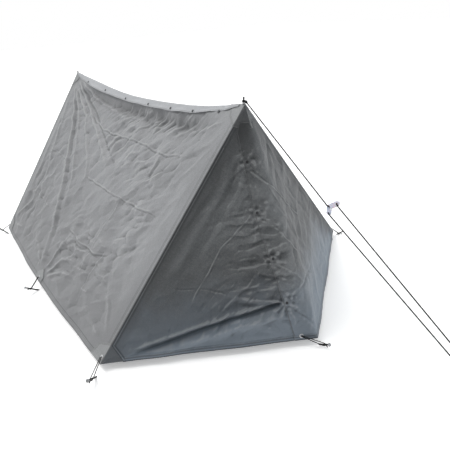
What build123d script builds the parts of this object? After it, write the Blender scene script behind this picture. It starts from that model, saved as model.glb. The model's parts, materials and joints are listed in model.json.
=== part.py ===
from build123d import *
import math
import os
import numpy as np

# Two-person A-frame shelter tent: two fabric halves snapped together along the
# ridge, a pyramid door of two lapped flaps at each end, two upright poles, tie
# loops, pegs and one front guy line.  Millimetres.  X is across the tent, Y is
# along the ridge (front end at -Y), Z is up.  The origin is on the ground under
# the middle of the ridge.

# ---------------------------------------------------------------- driving sizes
PEAK_Z = 1135.0        # outside of the fabric at each peak, above the ground
HEM_Z = 35.0           # hem above the ground
RIDGE_LENGTH = 2140.0  # between the two peaks
BASE_LENGTH = 1930.0   # between front and rear corners
BASE_WIDTH = 1830.0    # between left and right corners
APEX_REACH = 600.0     # door apex ahead of the line through the corners
MID_BULGE = 30.0       # mid hem pulled outwards by its peg
FABRIC = 2.0           # thickness of each fabric solid
LAYER_GAP = 0.4        # between two layers of fabric
SEAM = 3.5             # each panel stops this far from the hip line it folds on

SAG = [                # ridge profile: (distance along Y, drop below the peak)
    (-1070, 0), (-1000, 12), (-915, 24), (-780, 44), (-640, 58), (-470, 69),
    (-300, 77), (-100, 82), (80, 84), (260, 76), (440, 62), (620, 42),
    (800, 24), (940, 11), (1070, 0)]

TOP_CLEAR = 115.0      # each flap starts this far down from its peak
HIP_CLEAR = 135.0      # each flap starts this far from its corner
GUSSET = 104.0         # reach of the peak gusset
PATCH = 112.0          # reach of a corner patch
LAP_WIDTH = 62.0       # ridge lap strip on the left slope
LAP_RETURN = 16.0      # and on the right slope

SPIKE_Y = 1060.0       # pole centres, either side of the middle
POLE_R = 10.0
POLE_TOP = 1100.0
SPIKE_R = 4.0
SPIKE_TOP = {"front": 1168.0, "rear": 1150.0}     # the rear pole has a short tip

PEG_LENGTH = 225.0
PEG_R = 4.5
PEG_SHOW = 90.0        # length standing out of the ground
PEG_LEAN = 50.0        # from the vertical, away from the tent
PEG_CATCH = 38.0       # the rope catches this far below the head

ROPE_R = 2.25          # tie loops are 4.5 mm rope
GUY_R = 3.0            # the guy line is 6 mm rope
SNAP_R = 7.5

os.makedirs("parts", exist_ok=True)
DONE = []


def save(shape, name):
    shape.label = name
    export_step(shape, "parts/" + name + ".step")
    DONE.append(name)


def V(*p):
    return np.array(p, float)


def unit(v):
    return v / np.linalg.norm(v)


# ---------------------------------------------------------------- fabric solids
def thick(verts, faces, t=FABRIC):
    """Closed solid whose outer skin is the given facets and whose inner skin lies t behind them."""
    verts = [np.array(v, float) for v in verts]
    tris = []
    for f in faces:
        for k in range(1, len(f) - 1):
            tris.append((f[0], f[k], f[k + 1]))
    around = {i: [] for i in range(len(verts))}
    for a, b, c in tris:
        n = unit(np.cross(verts[b] - verts[a], verts[c] - verts[a]))
        for i in (a, b, c):
            around[i].append(n)
    inner = []
    for i, v in enumerate(verts):
        N = np.array(around[i])
        d = np.linalg.lstsq(N, -t * np.ones(len(N)), rcond=0.08)[0]
        inner.append(v + d)
    n0 = len(verts)
    allv = verts + inner
    out = list(tris) + [(c + n0, b + n0, a + n0) for a, b, c in tris]
    edges = set()
    for a, b, c in tris:
        edges |= {(a, b), (b, c), (c, a)}
    for a, b in sorted(edges):
        if (b, a) not in edges:
            out.append((b, a, a + n0))
            out.append((b, a + n0, b + n0))
    fs = []
    for t3 in out:
        pts = [Vector(*allv[i]) for i in t3]
        fs.append(Face(Wire.make_polygon(pts, close=True)))
    return Solid(Shell(fs))


def rope(points, radii=None, r=ROPE_R, name=""):
    """Round rope along straight runs joined by tangent arcs."""
    pts = [np.array(p, float) for p in points]
    runs = [np.linalg.norm(b - a) for a, b in zip(pts, pts[1:])]
    found = []
    for i in range(1, len(pts) - 1):
        a, b = unit(pts[i] - pts[i - 1]), unit(pts[i + 1] - pts[i])
        turn = math.acos(max(-1, min(1, float(a @ b))))
        most = 0.45 * min(runs[i - 1], runs[i]) / math.tan(turn / 2)
        found.append(most if radii is None else min(most, radii[i - 1]))
    if found:
        path = FilletPolyline(*[tuple(p) for p in pts], radius=found)
    else:
        path = Line(tuple(pts[0]), tuple(pts[1]))
    wire = Wire(path.edges()) if len(path.edges()) > 1 else path
    tube = sweep(Plane(origin=wire @ 0, z_dir=wire % 0) * Circle(r), path=wire)
    length = wire.length
    print("%-24s length %.1f  arcs %s  volume ratio %.4f" % (
        name, length, [round(float(x), 1) for x in found], tube.volume / (math.pi * r * r * length)))
    return tube


def placed(shape, origin, z_dir, x_dir=None):
    pl = Plane(origin=tuple(origin), z_dir=tuple(z_dir)) if x_dir is None else Plane(
        origin=tuple(origin), x_dir=tuple(x_dir), z_dir=tuple(z_dir))
    return pl * shape


# ---------------------------------------------------------------- key points
HR, HB, HW = RIDGE_LENGTH / 2, BASE_LENGTH / 2, BASE_WIDTH / 2
F, R_ = V(0, -HR, PEAK_Z), V(0, HR, PEAK_Z)
A, B = V(-HW, -HB, HEM_Z), V(HW, -HB, HEM_Z)
Q, D = V(-HW, HB, HEM_Z), V(HW, HB, HEM_Z)
P, P2 = V(0, -HB - APEX_REACH, HEM_Z), V(0, HB + APEX_REACH, HEM_Z)


def ridge_z(y):
    return PEAK_Z - float(np.interp(y, [s[0] for s in SAG], [s[1] for s in SAG]))


def roof_point(y, v, side):
    """Outer face of a roof half: y along the ridge, v from 0 at the ridge to 1 at the hem."""
    u = (y + HR) / RIDGE_LENGTH
    top = V(0, y, ridge_z(y))
    base = V(side * (HW + MID_BULGE * math.sin(math.pi * u)), (2 * u - 1) * HB, HEM_Z)
    return top + (base - top) * v


def roof_normal(y, v, side):
    du = roof_point(y + 5, v, side) - roof_point(y - 5, v, side)
    dv = roof_point(y, v + 0.005, side) - roof_point(y, v - 0.005, side)
    n = unit(np.cross(du, dv))
    return n if n[2] > 0 else -n


def grid(rows, flip):
    """Rows of points to (vertices, quads) with the outward side chosen by flip."""
    vs, fs, w = [], [], len(rows[0])
    for r in rows:
        vs += list(r)
    for i in range(len(rows) - 1):
        for j in range(w - 1):
            q = (i * w + j, i * w + j + 1, (i + 1) * w + j + 1, (i + 1) * w + j)
            fs.append(q[::-1] if flip else q)
    return vs, fs


# Half way up each slope the cloth is pulled a little inwards; the facets keep it flat.
ROOF_Y = [s[0] for s in SAG]
for name, side in (("left_roof_half", -1), ("right_roof_half", 1)):
    rows = []
    for v in (0.0, 0.25, 0.5, 0.75, 1.0):
        rows.append([roof_point(y, v, side) + (V(side * 2.6, 0, -3.1) if v == 0 else 0)
                     + (V(0, -math.copysign(SEAM, y), 0) if abs(y) == HR else 0) for y in ROOF_Y])
    vs, fs = grid(rows, side > 0)
    s = thick(vs, fs)
    for e in (-1, 1):
        s -= Pos(0, e * SPIKE_Y, PEAK_Z) * Cylinder(7.0, 80)
    save(s, name)

# ------------------------------------------------------- ridge lap strip, snaps
LIFT = FABRIC + LAYER_GAP + 0.6
slope = HW / math.hypot(HW, PEAK_Z - HEM_Z)
lap_y = [-948] + [y for y in ROOF_Y if abs(y) < 945] + [948]
rows = []
for kind in (-1, 0, 1):
    row = []
    for y in lap_y:
        if kind == 0:
            row.append(V(0, y, ridge_z(y) + LIFT * 1.45))
        else:
            side = 1 if kind < 0 else -1
            w = LAP_RETURN if kind < 0 else LAP_WIDTH
            top, base = roof_point(y, 0, side), roof_point(y, 1, side)
            v = w / np.linalg.norm(base - top)
            row.append(roof_point(y, v, side) + LIFT * roof_normal(y, 0.02, side))
    rows.append(row)
vs, fs = grid(rows, False)
save(thick(vs, fs), "ridge_lap_strip")

RIDGE_SNAPS = [-900, -670, -440, -170, 150, 480, 800]


def disc(origin, n, r, h, dome=0.0):
    """Snap part: a short round body standing on a fabric face, with a softened rim."""
    c = Cylinder(r, h, align=(Align.CENTER, Align.CENTER, Align.MIN))
    c = chamfer(c.edges().filter_by(GeomType.CIRCLE).sort_by(Axis.Z)[-1], h * 0.45)
    return placed(c, origin, n)


def group(solids):
    return Compound(children=[s if isinstance(s, Solid) else s.solids()[0] for s in solids])


caps, studs = [], []
for y in RIDGE_SNAPS:
    top, base = roof_point(y, 0, -1), roof_point(y, 1, -1)
    v = (LAP_WIDTH * 0.58) / np.linalg.norm(base - top)
    n = roof_normal(y, 0.02, -1)
    p = roof_point(y, v, -1)
    caps.append(disc(p + n * (LIFT + 0.25), n, SNAP_R, 2.6))
    studs.append(disc(p - n * (FABRIC + 0.9), -n, SNAP_R * 0.85, 3.0))
save(group(caps), "ridge_snap_caps")
save(group(studs), "ridge_snap_studs")

# ---------------------------------------------------------------- end closures
# The front pair is drawn; the rear pair is the same pair turned half a turn
# about the vertical, as two equal halves give it.
N_L = unit(np.cross(A - F, P - F))
N_L = N_L if N_L[1] < 0 else -N_L
N_R = unit(np.cross(B - F, P - F))
N_R = N_R if N_R[1] < 0 else -N_R
hipA, hipB, door = unit(A - F), unit(B - F), unit(P - F)
DOOR_LEN = float(np.linalg.norm(P - F))

# Snap line on the left flap's plane: (x, height above the hem).  The outer flap's
# edge is a little further left than its snaps.
SNAPS = [(-63, 856), (-87, 627), (-82, 409), (-83, 192)]
EDGE_PAST = 11.0


def on_left(x, z):
    """Point of the left flap's plane at this x and height above the hem."""
    z = z + HEM_Z
    y = (float(N_L @ F) - N_L[0] * x - N_L[2] * z) / N_L[1]
    return V(x, y, z)


def half_turn(p):
    return V(-p[0], -p[1], p[2])


edge_top_x = -50.0
edge = [(-50, 990), (-63 - EDGE_PAST, 856), (-87 - EDGE_PAST, 627), (-82 - EDGE_PAST, 409),
        (-83 - EDGE_PAST, 192), (-96, 0)]
edge_pts = [on_left(*e) for e in edge]
GAP_BUTT = 3.0


def flap_inner():
    off = unit((P - F) - hipA * float((P - F) @ hipA)) * SEAM
    hip_top = F + hipA * TOP_CLEAR + off
    hip_low = A - hipA * HIP_CLEAR + off
    hem_in = A + unit(P - A) * HIP_CLEAR
    pts = [e + V(-GAP_BUTT, 0, 0) for e in edge_pts]
    pts = [on_left(p[0], p[2] - HEM_Z) for p in pts]
    n = len(pts)
    vs = pts + [hip_top, hip_low, hem_in]
    # a fan of facets from the hip to the free edge
    fs = []
    mid = [hip_top + (hip_low - hip_top) * k / (n - 2) for k in range(n - 1)]
    vs = pts + mid + [hem_in]
    for k in range(n - 2):
        fs.append((k, n + k, n + k + 1, k + 1))
    fs.append((n - 2, n + n - 2, n + n - 1, n - 1))
    return vs, fs


def flap_outer():
    off = unit((P - F) - hipB * float((P - F) @ hipB)) * SEAM
    hip_top = F + hipB * TOP_CLEAR + off
    hip_low = B - hipB * HIP_CLEAR + off
    hem_in = B + unit(P - B) * HIP_CLEAR
    n = len(edge_pts)
    # the fold down the middle of the door, level with each point of the free edge
    mid = []
    for e in edge_pts:
        z = e[2]
        s = (PEAK_Z - z) / (PEAK_Z - HEM_Z)
        mid.append(F + (P - F) * s)
    hip = [hip_top + (hip_low - hip_top) * k / (n - 2) for k in range(n - 1)] + [hem_in]
    vs = list(edge_pts) + mid + hip
    fs = []
    for k in range(n - 1):
        fs.append((k, k + 1, n + k + 1, n + k))
        fs.append((n + k, n + k + 1, 2 * n + k + 1, 2 * n + k))
    return vs, fs


def facing(vs, fs, away):
    """Turns the facets so that they face away from the given inside point."""
    a, b, c = (vs[fs[0][i]] for i in (0, 1, 2))
    n = np.cross(b - a, c - a)
    return fs if n @ (a - away) > 0 else [f[::-1] for f in fs]


INSIDE = V(0, -1000, 400)
vi, fi = flap_inner()
fi = facing(vi, fi, INSIDE)
vo, fo = flap_outer()
fo = facing(vo, fo, INSIDE)
save(thick(vi, fi), "front_inner_flap")
save(thick(vo, fo), "front_outer_flap")
save(thick([half_turn(v) for v in vi], fi), "rear_inner_flap")
save(thick([half_turn(v) for v in vo], fo), "rear_outer_flap")

front_caps, front_studs = [], []
for x, z in SNAPS:
    front_caps.append(disc(on_left(x, z) + N_L * 0.02, N_L, SNAP_R, 2.6))
    front_studs.append(disc(on_left(x - 24, z) + N_L * 0.02, N_L, SNAP_R * 0.85, 3.2))


def turned(solids):
    return [Rot(0, 0, 180) * s for s in solids]


save(group(front_caps), "front_door_snap_caps")
save(group(front_studs), "front_door_snap_studs")
save(group(turned(front_caps)), "rear_door_snap_caps")
save(group(turned(front_studs)), "rear_door_snap_studs")

# ------------------------------------------------------------------- eyelets
EYE_OUT, EYE_IN = 11.0, 6.0


def eyelet(origin, n, h=1.6):
    ring = Cylinder(EYE_OUT, h, align=(Align.CENTER, Align.CENTER, Align.MIN)) - Cylinder(
        EYE_IN, 4 * h)
    top = ring.edges().filter_by(GeomType.CIRCLE).group_by(Axis.Z)[-1]
    ring = chamfer(top, 0.6)
    return placed(ring, origin, n)


apex_eye = on_left(-66, 22)
save(eyelet(apex_eye + N_L * 0.02, N_L), "front_apex_eyelet")
save(Rot(0, 0, 180) * eyelet(apex_eye + N_L * 0.02, N_L), "rear_apex_eyelet")


# ------------------------------------------------------------ gussets, patches
def both(n1, n2, up):
    """Offset that stands up off two planes at once."""
    return (n1 + n2) * up / (1 + float(n1 @ n2))


def gusset(sign):
    """Hood over the peak: two facets on the roof side and two on the door side."""
    up = FABRIC + LAYER_GAP + 0.5
    y1 = sign * (HR - GUSSET)
    peak = V(0, sign * HR, PEAK_Z)
    ridge0 = V(0, y1, ridge_z(y1))
    pts = {}
    for side in (-1, 1):
        hip = unit(V(side * HW, sign * HB, HEM_Z) - peak)
        doord = unit(V(0, sign * (HB + APEX_REACH), HEM_Z) - peak)
        nroof = unit(np.cross(hip, unit(ridge0 - peak)))
        nroof = nroof if nroof[2] > 0 else -nroof
        nflap = unit(np.cross(hip, doord))
        nflap = nflap if nflap[1] * sign > 0 else -nflap
        pts[side] = (hip, doord, nroof, nflap)
    (hl, dd, nrl, nfl), (hr, _, nrr, nfr) = pts[-1], pts[1]
    ups = np.linalg.lstsq(np.array([nrl, nrr, nfl, nfr]), up * np.ones(4), rcond=None)[0]
    vs = [peak + ups * 1.12,
          ridge0 + both(nrl, nrr, up),
          peak + unit(hl + unit(ridge0 - peak)) * GUSSET + nrl * up,
          peak + hl * GUSSET + both(nrl, nfl, up),
          peak + dd * GUSSET + both(nfl, nfr, up),
          peak + hr * GUSSET + both(nrr, nfr, up),
          peak + unit(hr + unit(ridge0 - peak)) * GUSSET + nrr * up]
    fs = [(0, 1, 2), (0, 2, 3), (0, 3, 4), (0, 4, 5), (0, 5, 6), (0, 6, 1)]
    fs = facing(vs, fs, V(0, sign * 1000, 400))
    s = thick(vs, fs, 1.8)
    return s - Pos(0, sign * SPIKE_Y, PEAK_Z) * Cylinder(7.0, 80)


save(gusset(-1), "front_peak_gusset")
save(gusset(1), "rear_peak_gusset")

grommets = []
for sign in (-1, 1):
    g = Cylinder(11, 1.8, align=(Align.CENTER, Align.CENTER, Align.MIN)) - Cylinder(6.5, 10)
    grommets.append(Pos(0, sign * SPIKE_Y, PEAK_Z + 5.3) * g)
save(group(grommets), "peak_grommets")


def corner_patch(c, peak, apex, nroof, nflap, inward):
    """Patch folded round the hip at a corner: c corner, inward along the roof hem."""
    up = FABRIC + LAYER_GAP
    hip, hem_door, hem_roof = unit(peak - c), unit(apex - c), unit(inward)
    tip = c + both(nroof, nflap, up)
    top = c + hip * PATCH + both(nroof, nflap, up)
    d = c + hem_door * PATCH + nflap * up
    r = c + hem_roof * PATCH + nroof * up
    md = c + unit(hem_door + hip) * PATCH + nflap * up
    mr = c + unit(hem_roof + hip) * PATCH + nroof * up
    vs = [tip, top, mr, r, md, d]
    fs = [(0, 1, 2), (0, 2, 3), (0, 4, 1), (0, 5, 4)]
    fs = facing(vs, fs, V(0, 0, 200))
    return thick(vs, fs, 1.8)


def mirror_y(p):
    return V(p[0], -p[1], p[2])


def mirror_x(p):
    return V(-p[0], p[1], p[2])


hem_in_A = roof_point(-700, 1, -1) - A
nA = unit(np.cross(hem_in_A, F - A))
nA = nA if nA[2] > 0 else -nA
PATCH_OF = {}
for name, c, pk, ap, m in (
        ("front_left", A, F, P, lambda p: p),
        ("front_right", B, F, P, mirror_x),
        ("rear_left", Q, R_, P2, mirror_y),
        ("rear_right", D, R_, P2, half_turn)):
    s = corner_patch(c, pk, ap, m(nA), m(N_L), m(hem_in_A))
    PATCH_OF[name] = (c, m)
    save(s, name + "_corner_patch")

for name, side in (("mid_left_patch", -1), ("mid_right_patch", 1)):
    n = roof_normal(0, 0.96, side)
    up = FABRIC + LAYER_GAP
    pts = []
    hem0 = roof_point(0, 1, side)
    slope_up = unit(roof_point(0, 0, side) - hem0)
    for dy, dh in ((-62, 2), (62, 2), (62, 46), (0, 92), (-62, 46)):
        base = roof_point(dy, 1, side)
        pts.append(base + slope_up * dh)
    c0 = hem0 + slope_up * 40
    lift = max(float((p - c0) @ n) for p in pts) + up
    flat = []
    for p in [c0] + pts:
        flat.append(p - n * float((p - c0) @ n) + n * (up + 0.9))
    fs = [(0, 1, 2), (0, 2, 3), (0, 3, 4), (0, 4, 5), (0, 5, 1)]
    fs = facing(flat, fs, V(0, 0, 300))
    save(thick(flat, fs, 1.8), name)

# ------------------------------------------------------------------------ pegs
DEPTH = (PEG_LENGTH - PEG_SHOW) * math.cos(math.radians(PEG_LEAN))


def peg_solid():
    """Round steel peg drawn point down: tip at z 0, head on top, rope hook on its +X side."""
    shaft = Pos(0, 0, 22) * Cylinder(PEG_R, PEG_LENGTH - 26, align=(Align.CENTER, Align.CENTER, Align.MIN))
    tip = Cone(0.8, PEG_R, 22, align=(Align.CENTER, Align.CENTER, Align.MIN))
    head = Pos(0, 0, PEG_LENGTH - 5) * Cylinder(9.0, 5, align=(Align.CENTER, Align.CENTER, Align.MIN))
    head = chamfer(head.edges().filter_by(GeomType.CIRCLE), 1.2)
    hook = Pos(3.0, 0, PEG_LENGTH - PEG_CATCH + 6.5) * Rot(0, 50, 0) * Cylinder(
        2.6, 15, align=(Align.CENTER, Align.CENTER, Align.MIN))
    return shaft + tip + head + hook


PEG = peg_solid()
PEGS = {}


def add_peg(name, ground_at, out, show=PEG_SHOW):
    """Peg through this point of the ground, leaning towards out, with show left above ground."""
    out = unit(V(out[0], out[1], 0))
    lean = math.acos(DEPTH / (PEG_LENGTH - show))
    axis = out * math.sin(lean) + V(0, 0, math.cos(lean))
    g = V(ground_at[0], ground_at[1], 0)
    tip = g - axis * (PEG_LENGTH - show)
    side = unit(np.cross(axis, np.cross(out, axis)))
    side = side if side @ out > 0 else -side
    s = placed(PEG, tip, axis, side)
    PEGS[name] = (g + axis * (show - PEG_CATCH), axis)
    save(s, name)


dg = 1 / math.sqrt(2)
add_peg("front_left_peg", (-955, -987), (-dg, -dg))
add_peg("front_right_peg", (948, -972), (dg, -dg), 56)
add_peg("mid_left_peg", (-968, -61), (-1, 0))
add_peg("mid_right_peg", (985, 30), (1, 0))
add_peg("rear_left_peg", (-936, 935), (-dg, dg))
add_peg("rear_right_peg", (955, 987), (dg, dg))
add_peg("front_apex_peg", (0, -1575), (0, -1), 76)
add_peg("rear_apex_peg", (0, 1575), (0, 1), 76)
add_peg("guy_peg", (0, -2652), (0, -1))

# ------------------------------------------------------------------- tie loops
WRAP = PEG_R + ROPE_R + 0.4


def tie_loop(name, grommet, n, peg, spread):
    """Rope from a grommet, round the outer side of its peg and back."""
    c, axis = PEGS[peg]
    start = grommet + n * (ROPE_R + 2.5)
    g = c - start
    b = unit(g - axis * float(g @ axis))
    w = unit(np.cross(axis, b))
    sp = unit(spread - g * float(spread @ g) / float(g @ g))
    sp = sp if sp @ w > 0 else -sp
    pts = [start - sp * 3.2, c - w * WRAP + b * WRAP, c + w * WRAP + b * WRAP, start + sp * 3.2]
    save(rope(pts, [WRAP, WRAP], name=name), name)
    return pts


eyes = []
CORNER_EYE = 34.0
for name, peg in (("front_left", "front_left_peg"), ("front_right", "front_right_peg"),
                  ("rear_left", "rear_left_peg"), ("rear_right", "rear_right_peg")):
    c, m = PATCH_OF[name]
    pk = F if name.startswith("front") else R_
    nr, nf = m(nA), m(N_L)
    up = FABRIC + LAYER_GAP
    # the eye sits on the roof side of the patch, just off the hip
    inward = unit(m(hem_in_A))
    base = c + unit(pk - c) * CORNER_EYE + inward * 17 + nr * (up + 0.02)
    eyes.append(eyelet(base, nr))
    tie_loop(name + "_tie_loop", base, nr, peg, inward)
for name, side, peg in (("mid_left", -1, "mid_left_peg"), ("mid_right", 1, "mid_right_peg")):
    hem0 = roof_point(0, 1, side)
    n = roof_normal(0, 0.96, side)
    slope_up = unit(roof_point(0, 0, side) - hem0)
    base = hem0 + slope_up * 22 + n * (FABRIC + LAYER_GAP + 0.95)
    eyes.append(eyelet(base, n))
    tie_loop(name + "_tie_loop", base, n, peg, V(0, 1, 0))
save(group(eyes), "hem_eyelets")
tie_loop("front_apex_tie_loop", apex_eye, N_L, "front_apex_peg", V(-0.3, 0.2, 1))
tie_loop("rear_apex_tie_loop", half_turn(apex_eye), half_turn(N_L), "rear_apex_peg", V(0.3, -0.2, 1))

# ----------------------------------------------------------------------- poles
SECTION = (POLE_TOP - 6.0) / 3
ferrules = []
for end, sign in (("front", -1), ("rear", 1)):
    y = sign * SPIKE_Y
    for k, part in enumerate(("lower", "middle", "upper")):
        z0 = 6.0 + k * SECTION
        rod = Pos(0, y, z0) * Cylinder(POLE_R, SECTION, align=(Align.CENTER, Align.CENTER, Align.MIN))
        save(rod, "%s_pole_%s" % (end, part))
    for k in (1, 2):
        z0 = 6.0 + k * SECTION - 45
        tube = Cylinder(POLE_R + 1.2, 90, align=(Align.CENTER, Align.CENTER, Align.MIN)) - Cylinder(
            POLE_R + 0.05, 400)
        ferrules.append(Pos(0, y, z0) * tube)
    cup = Cylinder(15, 16, align=(Align.CENTER, Align.CENTER, Align.MIN)) - Pos(0, 0, 6) * Cylinder(
        POLE_R + 0.05, 40, align=(Align.CENTER, Align.CENTER, Align.MIN))
    save(Pos(0, y, 0) * cup, end + "_pole_foot")
    cap = Pos(0, 0, POLE_TOP) * Cylinder(POLE_R + 1.2, 5, align=(Align.CENTER, Align.CENTER, Align.MIN))
    skirt = Pos(0, 0, POLE_TOP - 26) * (Cylinder(POLE_R + 1.2, 26, align=(Align.CENTER, Align.CENTER, Align.MIN))
                                      - Cylinder(POLE_R + 0.05, 60, align=(Align.CENTER, Align.CENTER, Align.MIN)))
    pin = Pos(0, 0, POLE_TOP + 5) * Cylinder(SPIKE_R, SPIKE_TOP[end] - POLE_TOP - 5,
                                            align=(Align.CENTER, Align.CENTER, Align.MIN))
    pin = chamfer(pin.edges().filter_by(GeomType.CIRCLE).sort_by(Axis.Z)[-1], 2.0)
    save(Pos(0, y, 0) * (cap + skirt + pin), end + "_pole_spike")

save(group(ferrules), "pole_ferrules")

# -------------------------------------------------------- guy line and runner
# Everything here lies in the tent's middle plane but for the rope's weave
# through the runner's holes.
HOLE_BEND = (-1571.6, 784.1)
HOLE_LOW = (-1570.4, 756.7)
HOLE_UP = (-1606.5, 810.2)
RUNNER_T = 6.0
RUNNER_W = 22.0
WEAVE = 6.9
GUY_WRAP = PEG_R + GUY_R + 0.4

def plate_arm(a, b):
    L = math.hypot(b[0] - a[0], b[1] - a[1])
    ang = math.degrees(math.atan2(b[1] - a[1], b[0] - a[0]))
    bar = Rectangle(L, RUNNER_W)
    return Plane.YZ * Pos((a[0] + b[0]) / 2, (a[1] + b[1]) / 2) * Rot(0, 0, ang) * bar


ends = [(-1571.0, 757.0), (-1571.5, 783.0), (-1606.8, 810.6)]
sk = plate_arm(ends[0], ends[1]) + plate_arm(ends[1], ends[2])
for e in ends:
    sk += Plane.YZ * Pos(e[0], e[1]) * Circle(RUNNER_W / 2)
for h in (HOLE_BEND, HOLE_LOW, HOLE_UP):
    sk -= Plane.YZ * Pos(h[0], h[1]) * Circle(4.6)
runner = extrude(sk, amount=RUNNER_T / 2, both=True)
save(runner, "guy_runner")

EYE_Z = PEAK_Z + 13.5
ring = Pos(0, -SPIKE_Y, EYE_Z) * Torus(SPIKE_R + GUY_R + 0.5, GUY_R)
save(ring, "guy_spike_eye")
KNOT_C = V(0, -SPIKE_Y - 14.6, EYE_Z - 1.5)
h1, h2, h3 = (V(0, *h) for h in (HOLE_BEND, HOLE_LOW, HOLE_UP))
line_dir = unit(h1 - V(WEAVE, 0, 0) - KNOT_C)
knot = Pos(0, 0, -5) * Cylinder(5.6, 13, align=(Align.CENTER, Align.CENTER, Align.MIN))
knot = chamfer(knot.edges().filter_by(GeomType.CIRCLE), 1.6)
save(placed(knot, KNOT_C, line_dir) - ring, "guy_spike_knot")
start = KNOT_C + line_dir * 8.0
X = V(1, 0, 0)
half = (h1 + h2) / 2 + X * WEAVE
# last straight stretch drifts to the runner's near face
upper = [start, h1 - X * WEAVE, h1 + X * WEAVE, half]
save(rope(upper, r=GUY_R, name="guy_line_upper"), "guy_line_upper")
c, axis = PEGS["guy_peg"]
g = c - h2
b = unit(g - axis * float(g @ axis))
w = V(1, 0, 0)
loop = [half, h2 + X * WEAVE, h2 - X * WEAVE, c - w * GUY_WRAP + b * GUY_WRAP, c + w * GUY_WRAP + b * GUY_WRAP,
        h3 - X * WEAVE, h3 + X * 3.3]
radii = [99, 99, GUY_WRAP, GUY_WRAP, 99]
save(rope(loop, radii, r=GUY_R, name="guy_line_loop"), "guy_line_loop")
stop = Pos(0, 0, 0) * Cylinder(6.6, 8.5, align=(Align.CENTER, Align.CENTER, Align.MIN))
stop = chamfer(stop.edges().filter_by(GeomType.CIRCLE), 2.2)
save(placed(stop, h3 + X * 3.3, X), "guy_end_knot")

print(len(DONE), "nodes")
print("guy upper route", [tuple(round(float(x), 2) for x in p) for p in upper])
print("guy loop route", [tuple(round(float(x), 2) for x in p) for p in loop])
print("apex", P, "snap points", [tuple(round(float(x), 1) for x in on_left(*s)) for s in SNAPS])
print("hinge front outer axis", hipB, "front inner axis", hipA, "N_L", N_L)
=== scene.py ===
import json
import math

import bmesh
import bpy
import numpy as np
from mathutils import Matrix, Vector

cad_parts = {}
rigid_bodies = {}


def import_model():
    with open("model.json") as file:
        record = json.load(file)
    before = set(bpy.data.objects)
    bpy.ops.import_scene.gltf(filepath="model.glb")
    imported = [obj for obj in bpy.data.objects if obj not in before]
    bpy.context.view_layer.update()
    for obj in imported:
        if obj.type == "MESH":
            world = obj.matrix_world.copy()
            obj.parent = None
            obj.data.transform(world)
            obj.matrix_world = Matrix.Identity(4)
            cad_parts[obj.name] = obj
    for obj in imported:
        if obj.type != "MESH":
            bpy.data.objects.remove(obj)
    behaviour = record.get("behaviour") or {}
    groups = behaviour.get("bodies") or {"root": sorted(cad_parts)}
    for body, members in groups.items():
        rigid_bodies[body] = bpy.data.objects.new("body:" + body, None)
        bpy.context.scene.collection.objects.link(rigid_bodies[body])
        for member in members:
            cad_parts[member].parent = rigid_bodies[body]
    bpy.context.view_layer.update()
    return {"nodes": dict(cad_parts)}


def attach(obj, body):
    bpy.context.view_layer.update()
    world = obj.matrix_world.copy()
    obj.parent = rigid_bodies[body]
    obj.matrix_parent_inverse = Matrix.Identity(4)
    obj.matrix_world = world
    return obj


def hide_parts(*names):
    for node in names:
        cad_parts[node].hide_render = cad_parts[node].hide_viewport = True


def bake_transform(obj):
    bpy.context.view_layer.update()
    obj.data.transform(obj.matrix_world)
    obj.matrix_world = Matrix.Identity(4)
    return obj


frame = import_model()

# --------------------------------------------------------------------------
# Shared sizes, in metres, the same as the CAD's
# --------------------------------------------------------------------------
PEAK_Z, HEM_Z = 1.135, 0.035
HR, HB, HW, BULGE, REACH = 1.070, 0.965, 0.915, 0.030, 0.600
CLOTH = 0.0011
SAG = np.array([(-1.070, 0), (-1.000, 12), (-0.915, 24), (-0.780, 44), (-0.640, 58), (-0.470, 69), (-0.300, 77),
                (-0.100, 82), (0.080, 84), (0.260, 76), (0.440, 62), (0.620, 42), (0.800, 24), (0.940, 11),
                (1.070, 0)], float)
SAG[:, 1] /= 1000.0
RIDGE_SNAPS = [-0.900, -0.670, -0.440, -0.170, 0.150, 0.480, 0.800]
LAP_WIDTH, LAP_RETURN, LAP_LIFT = 0.062, 0.016, 0.0030
SNAPS = [(-0.063, 0.891), (-0.087, 0.662), (-0.082, 0.444), (-0.083, 0.227)]
ROPE_D = 0.0045
GUY_D = 0.0060


def V(*p):
    return np.array(p, float)


def unit(v):
    v = np.asarray(v, float)
    return v / np.linalg.norm(v)


F, A, B, P = V(0, -HR, PEAK_Z), V(-HW, -HB, HEM_Z), V(HW, -HB, HEM_Z), V(0, -HB - REACH, HEM_Z)
N_L = unit(np.cross(A - F, P - F))
N_L = N_L if N_L[1] < 0 else -N_L
N_R = N_L * V(-1, 1, 1)
DOOR = unit(P - F)
ACROSS_L = unit((A - F) - DOOR * float((A - F) @ DOOR))
ACROSS_R = ACROSS_L * V(-1, 1, 1)


def smooth(a, b, x):
    t = np.clip((np.asarray(x, float) - a) / (b - a), 0, 1)
    return t * t * (3 - 2 * t)


# --------------------------------------------------------------------------
# Seeded lattice noise
# --------------------------------------------------------------------------
def hash2(ix, iy, seed):
    h = (ix.astype(np.int64) * 374761393 + iy.astype(np.int64) * 668265263 + seed * 974711) & 0x7FFFFFFF
    h = ((h ^ (h >> 13)) * 1274126177) & 0x7FFFFFFF
    return ((h ^ (h >> 16)) & 0xFFFFF) / float(0xFFFFF)


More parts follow.
